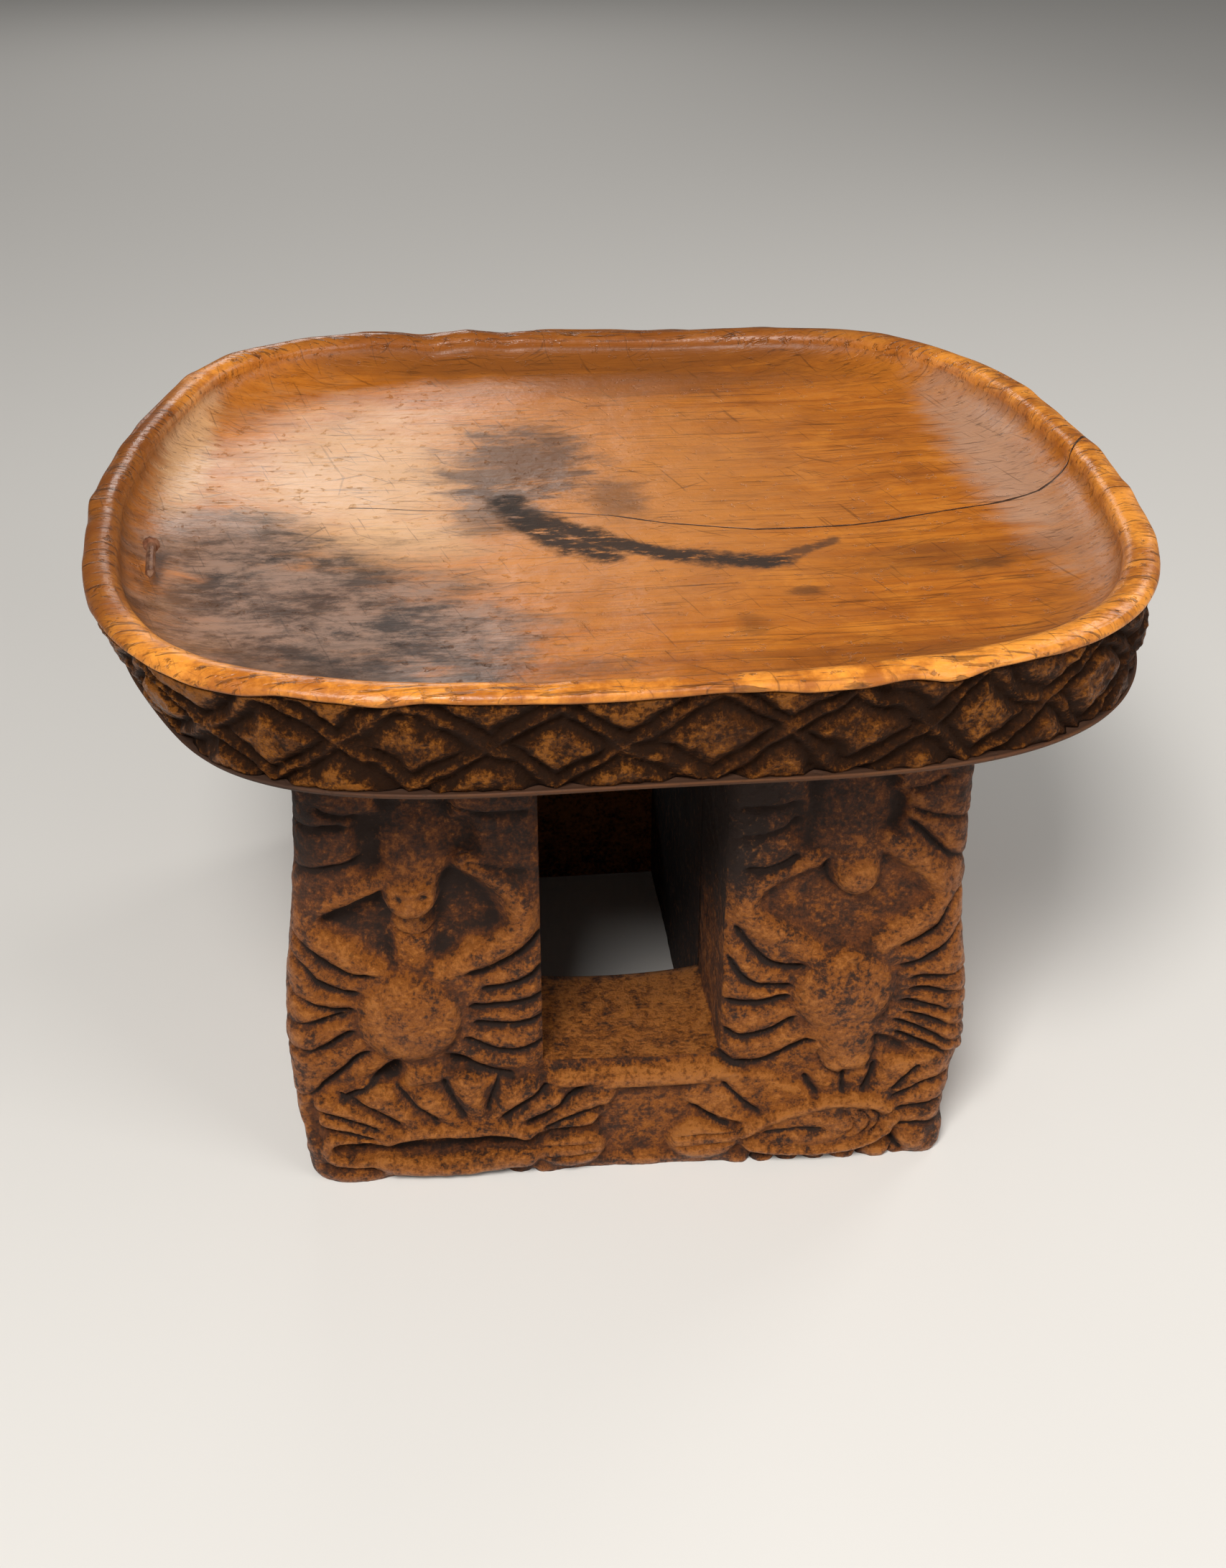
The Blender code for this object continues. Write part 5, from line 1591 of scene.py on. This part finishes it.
def carve_face(seed):
    """Heights below the highest surface, in millimetres, with worn and dark numbers, which also carry
    painted light and painted shade.
    """
    height = ground_level()
    cut = np.zeros(FX.shape)
    for carve in (carve_left, carve_right, carve_left_creature, carve_right_creature):
        carve(height, cut)
    cut = cut * (1 - 0.70 * smooth_step(np.abs(FX - MIDDLE_MM), 144, 168))
    ground = box_blur(height, 1)
    height = ground - cut
    local = height - box_blur(height, 6)
    wide = height - box_blur(height, 18)
    true_x = sheet_point[:, :, 0] * 1000
    jamb = np.minimum(np.abs(true_x - WIN_LEFT), np.abs(true_x - WIN_RIGHT))
    jamb = np.where(TRUE_Z > SILL_MM - 4, jamb, 99)
    below = np.where((true_x > WIN_LEFT) & (true_x < WIN_RIGHT), SILL_MM - TRUE_Z, 99)
    for steep, gap, reach in ((0.10, jamb, 6), (0.08, below, 5), (0.05, TRUE_Z, 6)):
        height -= steep * np.clip(reach - gap, 0, reach) ** 2
    v, u = TRUE_Z / 262.0, (FX + 260) / 520.0
    height += 0.60 * soft_noise(19, 37, seed)(v, u) + 0.32 * soft_noise(60, 120, seed + 1)(v, u)
    height += 0.16 * soft_noise(150, 300, seed + 2)(v, u)
    to_back = (PLATE_BACK - sheet_point[:, :, 1]) * 1000
    height = np.minimum(height, FULL_HEIGHT) * smooth_step(to_back, 0, 9)
    # painted shade: below the seat's overhang the wood is painted darker, reaching lower on the left and
    # weaker on the right
    shade = under_seat(TRUE_Z, np.clip(-FX - 105, 0, 60) / 60, smooth_step(FX, 40, 150))
    worn = 0.45 + 0.17 * np.clip(local, -3, 1.6) - SHADE_WEAR * shade
    # painted light: the last term paints the base lighter towards the right
    worn += 0.065 * np.clip(wide, -5, 0) + 0.015 * np.clip(wide, 0, 2) + 0.08 * smooth_step(FX, -120, 120)
    worn += 0.10 * smooth_step(-TRUE_Z, -78, -60)
    # painted highlight: a bright line along the sill's front edge
    worn = np.clip(worn + 0.50 * np.exp(-((below - 3.5) / 3.0) ** 2), 0, 1)
    deep = 0.85 * smooth_step(cut, 1.1, 3.8) + 0.50 * smooth_step(-ground, 8.0, 13.0) - 0.12 * local
    # painted shade: the face beside the window's right edge is painted dark from about 130 mm up
    deep += 0.95 * np.exp(-((FX - WIN_RIGHT) / 18) ** 2) * smooth_step(TRUE_Z, 130, 195)
    deep = np.clip(deep + SHADE_DEEP * shade, 0, 1)
    return height, worn, deep


print("carving ready for", rows * columns, "points")

# %% [markdown]
# ## Closed plate
# A carved sheet alone has no thickness. A sleeve of rings runs from the window's front edge to the plate's
# back: its floor is the dished top of the sill, its sides are the jambs. Flat faces then close the top, the
# foot and the back.

# %% Sleeve of the window
SLEEVE_STEPS = 22
SLEEVE_WAVER = 0.0009
SILL_DISH = 0.0038


def window_rim():
    """Grid places along the window: down its left edge, along the sill and up its right edge."""
    rim = [(j, win_a) for j in range(rows - 1, win_row, -1)]
    rim += [(win_row, i) for i in range(win_a, win_b + 1)]
    return rim + [(j, win_b) for j in range(win_row + 1, rows)]


def sleeve_rings(front, flat):
    """Rings of points from the window's front edge to the plate's back, with worn and dark numbers that
    carry painted shade and painted light.
    """
    across = np.clip((front[:, 0] - WINDOW[0]) / (WINDOW[1] - WINDOW[0]), 0, 1)
    along = np.linspace(0, 1, len(front))
    wobble = soft_noise(9, 60, 5)
    for step in range(1, SLEEVE_STEPS + 1):
        share = (step / SLEEVE_STEPS) ** 1.4
        ring = front.copy()
        ring[:, 1] = front[:, 1] + (PLATE_BACK - front[:, 1]) * share
        shake = SLEEVE_WAVER * math.sin(math.pi * share) * wobble(np.full(len(ring), share), along)
        dished = SILL_DISH * math.sin(math.pi / 2 * min(1.0, 1.8 * share))
        ring[:, 2] += np.where(flat, shake - dished * np.sin(np.pi * across) ** 0.6, 0.0)
        ring[:, 0] += np.where(flat, 0.0, shake)
        # painted shade: the jambs are painted darker towards the seat and the whole sleeve darker further
        # into the window; the sill's top is worn light and raised further as painted light
        deep = np.where(flat, 0.0, 0.20 + 0.70 * smooth_step(ring[:, 2], 0.10, 0.17)) + 0.25 * share
        yield ring, np.where(flat, 0.90, 0.3), deep


print("window sleeve:", SLEEVE_STEPS, "rings of", len(window_rim()), "points")


# %% Close the carved face into a solid plate
def carved_plate(height, worn, deep):
    """Points and faces of one closed plate: carved front, window sides, flat back, top and foot."""
    point = sheet_point + sheet_out * (height / 1000)[..., None]
    wood = np.ones((rows, columns), bool)
    wood[win_row + 1:, win_a + 1:win_b] = False
    count = int(wood.sum())
    number = np.full((rows, columns), -1)
    number[wood] = np.arange(count)
    points, worns, deeps = [point[wood]], [worn[wood]], [deep[wood]]
    quads = [(number[j, i], number[j, i + 1], number[j + 1, i + 1], number[j + 1, i])
             for j in range(rows - 1) for i in range(columns - 1)
             if not (j >= win_row and win_a <= i < win_b)]
    rim = window_rim()
    last = [number[place] for place in rim]
    front = np.array([point[place] for place in rim])
    flat = np.array([place[1] not in (win_a, win_b) for place in rim])
    left_ends, right_ends = [], []
    for ring, ring_worn, ring_deep in sleeve_rings(front, flat):
        points.append(ring)
        worns.append(ring_worn)
        deeps.append(ring_deep)
        now = list(range(count, count + len(ring)))
        count += len(ring)
        quads += [(last[k], last[k + 1], now[k + 1], now[k]) for k in range(len(ring) - 1)]
        left_ends.append(now[0])
        right_ends.append(now[-1])
        last = now
    top_left = [number[rows - 1, i] for i in range(win_a + 1)] + left_ends
    top_right = [number[rows - 1, i] for i in range(columns - 1, win_b - 1, -1)] + right_ends
    foot = [number[0, i] for i in range(columns)]
    back = [number[j, 0] for j in range(rows)] + last
    back += [number[j, columns - 1] for j in range(rows - 1, -1, -1)]
    caps = [top_left, top_right[::-1], foot[::-1], back[::-1]]
    return np.concatenate(points), quads, caps, np.concatenate(worns), np.concatenate(deeps)


plates = {"front": carved_plate(*carve_face(21)), "rear": carved_plate(*carve_face(57))}
print("plates:", [len(plate[0]) for plate in plates.values()], "points")

# %% [markdown]
# ## Members of the base
# The plate is one skin, so that no seam crosses the carving. For the library it is parted into its
# members: the sill with its creatures, and the two posts with their figures. The cut runs level just above
# the sill, the cut faces are closed, and each member keeps the shading of the whole plate, so the parting
# can't be seen.

# %% Whole plate
PARTING = heights[win_row + 2]


def whole_plate(name, plate, turned):
    """The closed plate as a bmesh, turned half round for the back."""
    points, quads, caps, worn, deep = plate
    if turned:
        points = points * np.array([-1, -1, 1]) + np.array([2 * BASE_X, 0, 0])
    mesh = bpy.data.meshes.new(name)
    mesh.from_pydata(points.tolist(), [], quads + caps)
    for label, values in (("worn", worn), ("deep", deep)):
        layer = mesh.attributes.new(label, "FLOAT", "POINT")
        layer.data.foreach_set("value", np.asarray(values, np.float32))
    bm = bmesh.new()
    bm.from_mesh(mesh)
    bpy.data.meshes.remove(mesh)
    bmesh.ops.triangulate(bm, faces=[f for f in bm.faces if len(f.verts) > 4])
    bmesh.ops.recalc_face_normals(bm, faces=bm.faces)
    bm.normal_update()
    return bm


print("the plates part at", round(PARTING, 4), "m")


# %% Cut out one member
def is_cap(polygon, mesh):
    """Whether a face lies in a flat end: the foot, the parting, the top or the back."""
    corners = [mesh.vertices[k].co for k in polygon.vertices]
    for level in (0.0, PARTING, SEAT_UNDER):
        if all(abs(c.z - level) < 1e-6 for c in corners):
            return True
    return all(abs(abs(c.y) + PLATE_BACK) < 1e-6 for c in corners)


def member(name, whole, keep_above, side, finish):
    """One member cut out of the plate, with the plate's own shading kept on it."""
    shading = {tuple(round(c, 5) for c in v.co): v.normal.copy() for v in whole.verts}
    bm = whole.copy()
    geometry = list(bm.verts) + list(bm.edges) + list(bm.faces)
    result = bmesh.ops.bisect_plane(
        bm, geom=geometry, dist=1e-6, plane_co=(0, 0, PARTING), plane_no=(0, 0, 1),
        clear_inner=keep_above, clear_outer=not keep_above)
    edges = [e for e in result["geom_cut"] if isinstance(e, bmesh.types.BMEdge)]
    bmesh.ops.edgeloop_fill(bm, edges=edges)
    if side:
        gone = [v for v in bm.verts if (v.co.x - BASE_X) * side < 0]
        bmesh.ops.delete(bm, geom=gone, context="VERTS")
    bmesh.ops.triangulate(bm, faces=[f for f in bm.faces if len(f.verts) > 4])
    bmesh.ops.recalc_face_normals(bm, faces=bm.faces)
    mesh = bpy.data.meshes.new(name)
    bm.to_mesh(mesh)
    bm.free()
    mesh.materials.append(finish)
    mesh.shade_smooth()
    normals = [None] * len(mesh.loops)
    for polygon in mesh.polygons:
        flat = is_cap(polygon, mesh)
        for k in polygon.loop_indices:
            place = tuple(round(c, 5) for c in mesh.vertices[mesh.loops[k].vertex_index].co)
            normals[k] = polygon.normal.copy() if flat else shading.get(place, polygon.normal.copy())
    mesh.normals_split_custom_set(normals)
    piece = bpy.data.objects.new(name, mesh)
    scene.collection.objects.link(piece)
    return piece


print("members can be cut out")

# %% Part both plates into members
members = {}
for face_name, turned in (("front", False), ("rear", True)):
    whole = whole_plate(face_name, plates[face_name], turned)
    for part_name, above, side in (("sill", False, 0), ("left_figure", True, -1), ("right_figure", True, 1)):
        label = face_name + "_" + part_name
        members[label] = member(label, whole, above, side, figure_wood)
        print(label, len(members[label].data.polygons), "faces")
    whole.free()

# %% [markdown]
# ## Side walls
# The two sides between the plates can't be seen in the picture this stool was modelled from, so they are
# plain: thick blocks beside the hollow that swell with the base, uneven as hand-cut wood is. Their inner
# faces are painted dark as painted shade in the hollow, and their outer faces carry the same painted shade
# below the seat as the plates.

# %% Side walls
WALL_GAP = 0.0002
WALL_STEP = 0.0025


def side_wall(name, side):
    """One wall between the plates: an outer sheet and a plain inner sheet, closed at the edges."""
    z = even(0, SEAT_UNDER - WALL_GAP, WALL_STEP)
    y = even(PLATE_BACK + WALL_GAP, -PLATE_BACK - WALL_GAP, WALL_STEP)
    Z, Y = np.meshgrid(z, y, indexing="ij")
    v, u = Z / 0.262, (Y + 0.1) / 0.2
    shape = np.sin(np.pi * np.clip(u, 0, 1)) ** 0.3
    marks = 0.0007 * soft_noise(13, 9, 31 + side)(v, u) + 0.0003 * soft_noise(40, 30, 41 + side)(v, u)
    foot = 0.00006 * np.clip(8 - Z * 1000, 0, 8) ** 2
    at_front = left_edge(Z) if side < 0 else right_edge(Z)
    at_rear = 2 * BASE_X - (right_edge(Z) if side < 0 else left_edge(Z))
    out_x = at_front + (at_rear - at_front) * smooth_step(u, 0, 1)
    in_x = WINDOW[0] if side < 0 else WINDOW[1]
    outer = np.stack([out_x + side * (marks * shape - foot * shape), Y, Z], -1)
    inner = np.stack([in_x + side * 0.7 * marks * shape, Y, Z], -1)
    n = len(z) * len(y)
    faces = [tuple(q) for q in grid_faces(len(z), len(y), False)]
    faces += [tuple(q[::-1]) for q in grid_faces(len(z), len(y), False, n)]
    edge = list(range(len(y)))
    edge += [(r + 1) * len(y) - 1 for r in range(1, len(z))]
    edge += [len(z) * len(y) - 1 - k for k in range(1, len(y))]
    edge += [r * len(y) for r in range(len(z) - 2, 0, -1)]
    for a, b in zip(edge, edge[1:] + edge[:1]):
        faces.append((a, a + n, b + n, b))
    points = np.concatenate([outer.reshape(-1, 3), inner.reshape(-1, 3)])
    # painted shade: the outer faces get the plates' painted shade below the seat, blended from one end to
    # the other
    left_shade = under_seat(Z * 1000, 1, 0)
    right_shade = under_seat(Z * 1000, 0, 1)
    at_ends = (left_shade, right_shade) if side < 0 else (right_shade, left_shade)
    shade = at_ends[0] + (at_ends[1] - at_ends[0]) * u
    worn = np.clip(0.46 + marks * shape * 300 - SHADE_WEAR * shade, 0, 1)
    deep = np.clip(SHADE_DEEP * shade - marks * shape * 150, 0, 1)
    # painted shade: the inner faces in the hollow are painted dark
    worn = np.concatenate([worn.ravel(), np.full(n, 0.15)])
    deep = np.concatenate([deep.ravel(), np.full(n, 0.75)])
    wall = make_piece(name, points, faces, figure_wood, worn=worn, deep=deep)
    bm = bmesh.new()
    bm.from_mesh(wall.data)
    bmesh.ops.recalc_face_normals(bm, faces=bm.faces)
    bm.to_mesh(wall.data)
    bm.free()
    wall.data.set_sharp_from_angle(angle=math.radians(50))
    return wall


walls = {"left": side_wall("left_side_wall_carved", -1), "right": side_wall("right_side_wall_carved", 1)}
print("walls:", [len(w.data.polygons) for w in walls.values()])

# %% [markdown]
# ## Nail
# A hand-made iron nail lies in the left rim, rusted, with a head worn bright. The CAD nail has the right
# shape and place, so it stays and only gets its iron.

# %% Nail iron
RUST_DARK = (0.20, 0.085, 0.048, 1.0)
RUST_LIGHT = (0.40, 0.215, 0.130, 1.0)
nail_iron, tree, shader, place = start_material("nail_iron")
rust = noise(tree, place, 240.0, 5.0, 0.65)
colour = blend_colour(tree, fade(tree, rust, 0.35, 0.65), RUST_DARK, RUST_LIGHT)
feed(tree, colour, shader.inputs["Base Color"])
shader.inputs["Metallic"].default_value = 0.7
feed(tree, fade(tree, rust, 0.3, 0.7, 0.35, 0.6), shader.inputs["Roughness"])
bump(tree, shader, rust, 0.0004)
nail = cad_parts["rim_nail"]
nail.data.materials.clear()
nail.data.materials.append(nail_iron)
print("nail dressed in", nail_iron.name)

# %% [markdown]
# ## Tie the pieces to the model
# Every piece rides on the stool's one body, and the CAD nodes that it stands for are hidden.

# %% Ride and replace
FIGURE_NODES = ("post", "head", "body", "outer_foreleg", "inner_foreleg", "outer_legs", "inner_legs",
                "outer_bands", "inner_bands")
SILL_NODES = ("creature", "leaves")
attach(seat, "root")
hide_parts("seat_dish")
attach(band, "root")
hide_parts("seat_lattice_band")
for side, wall in walls.items():
    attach(wall, "root")
    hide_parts(side + "_side_wall")
for face_name in ("front", "rear"):
    sill = members[face_name + "_sill"]
    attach(sill, "root")
    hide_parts(face_name + "_sill")
    for side in ("left", "right"):
        prefix = face_name + "_" + side + "_"
        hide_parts(*[prefix + name for name in SILL_NODES])
        piece = members[face_name + "_" + side + "_figure"]
        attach(piece, "root")
        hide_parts(*[prefix + name for name in FIGURE_NODES])
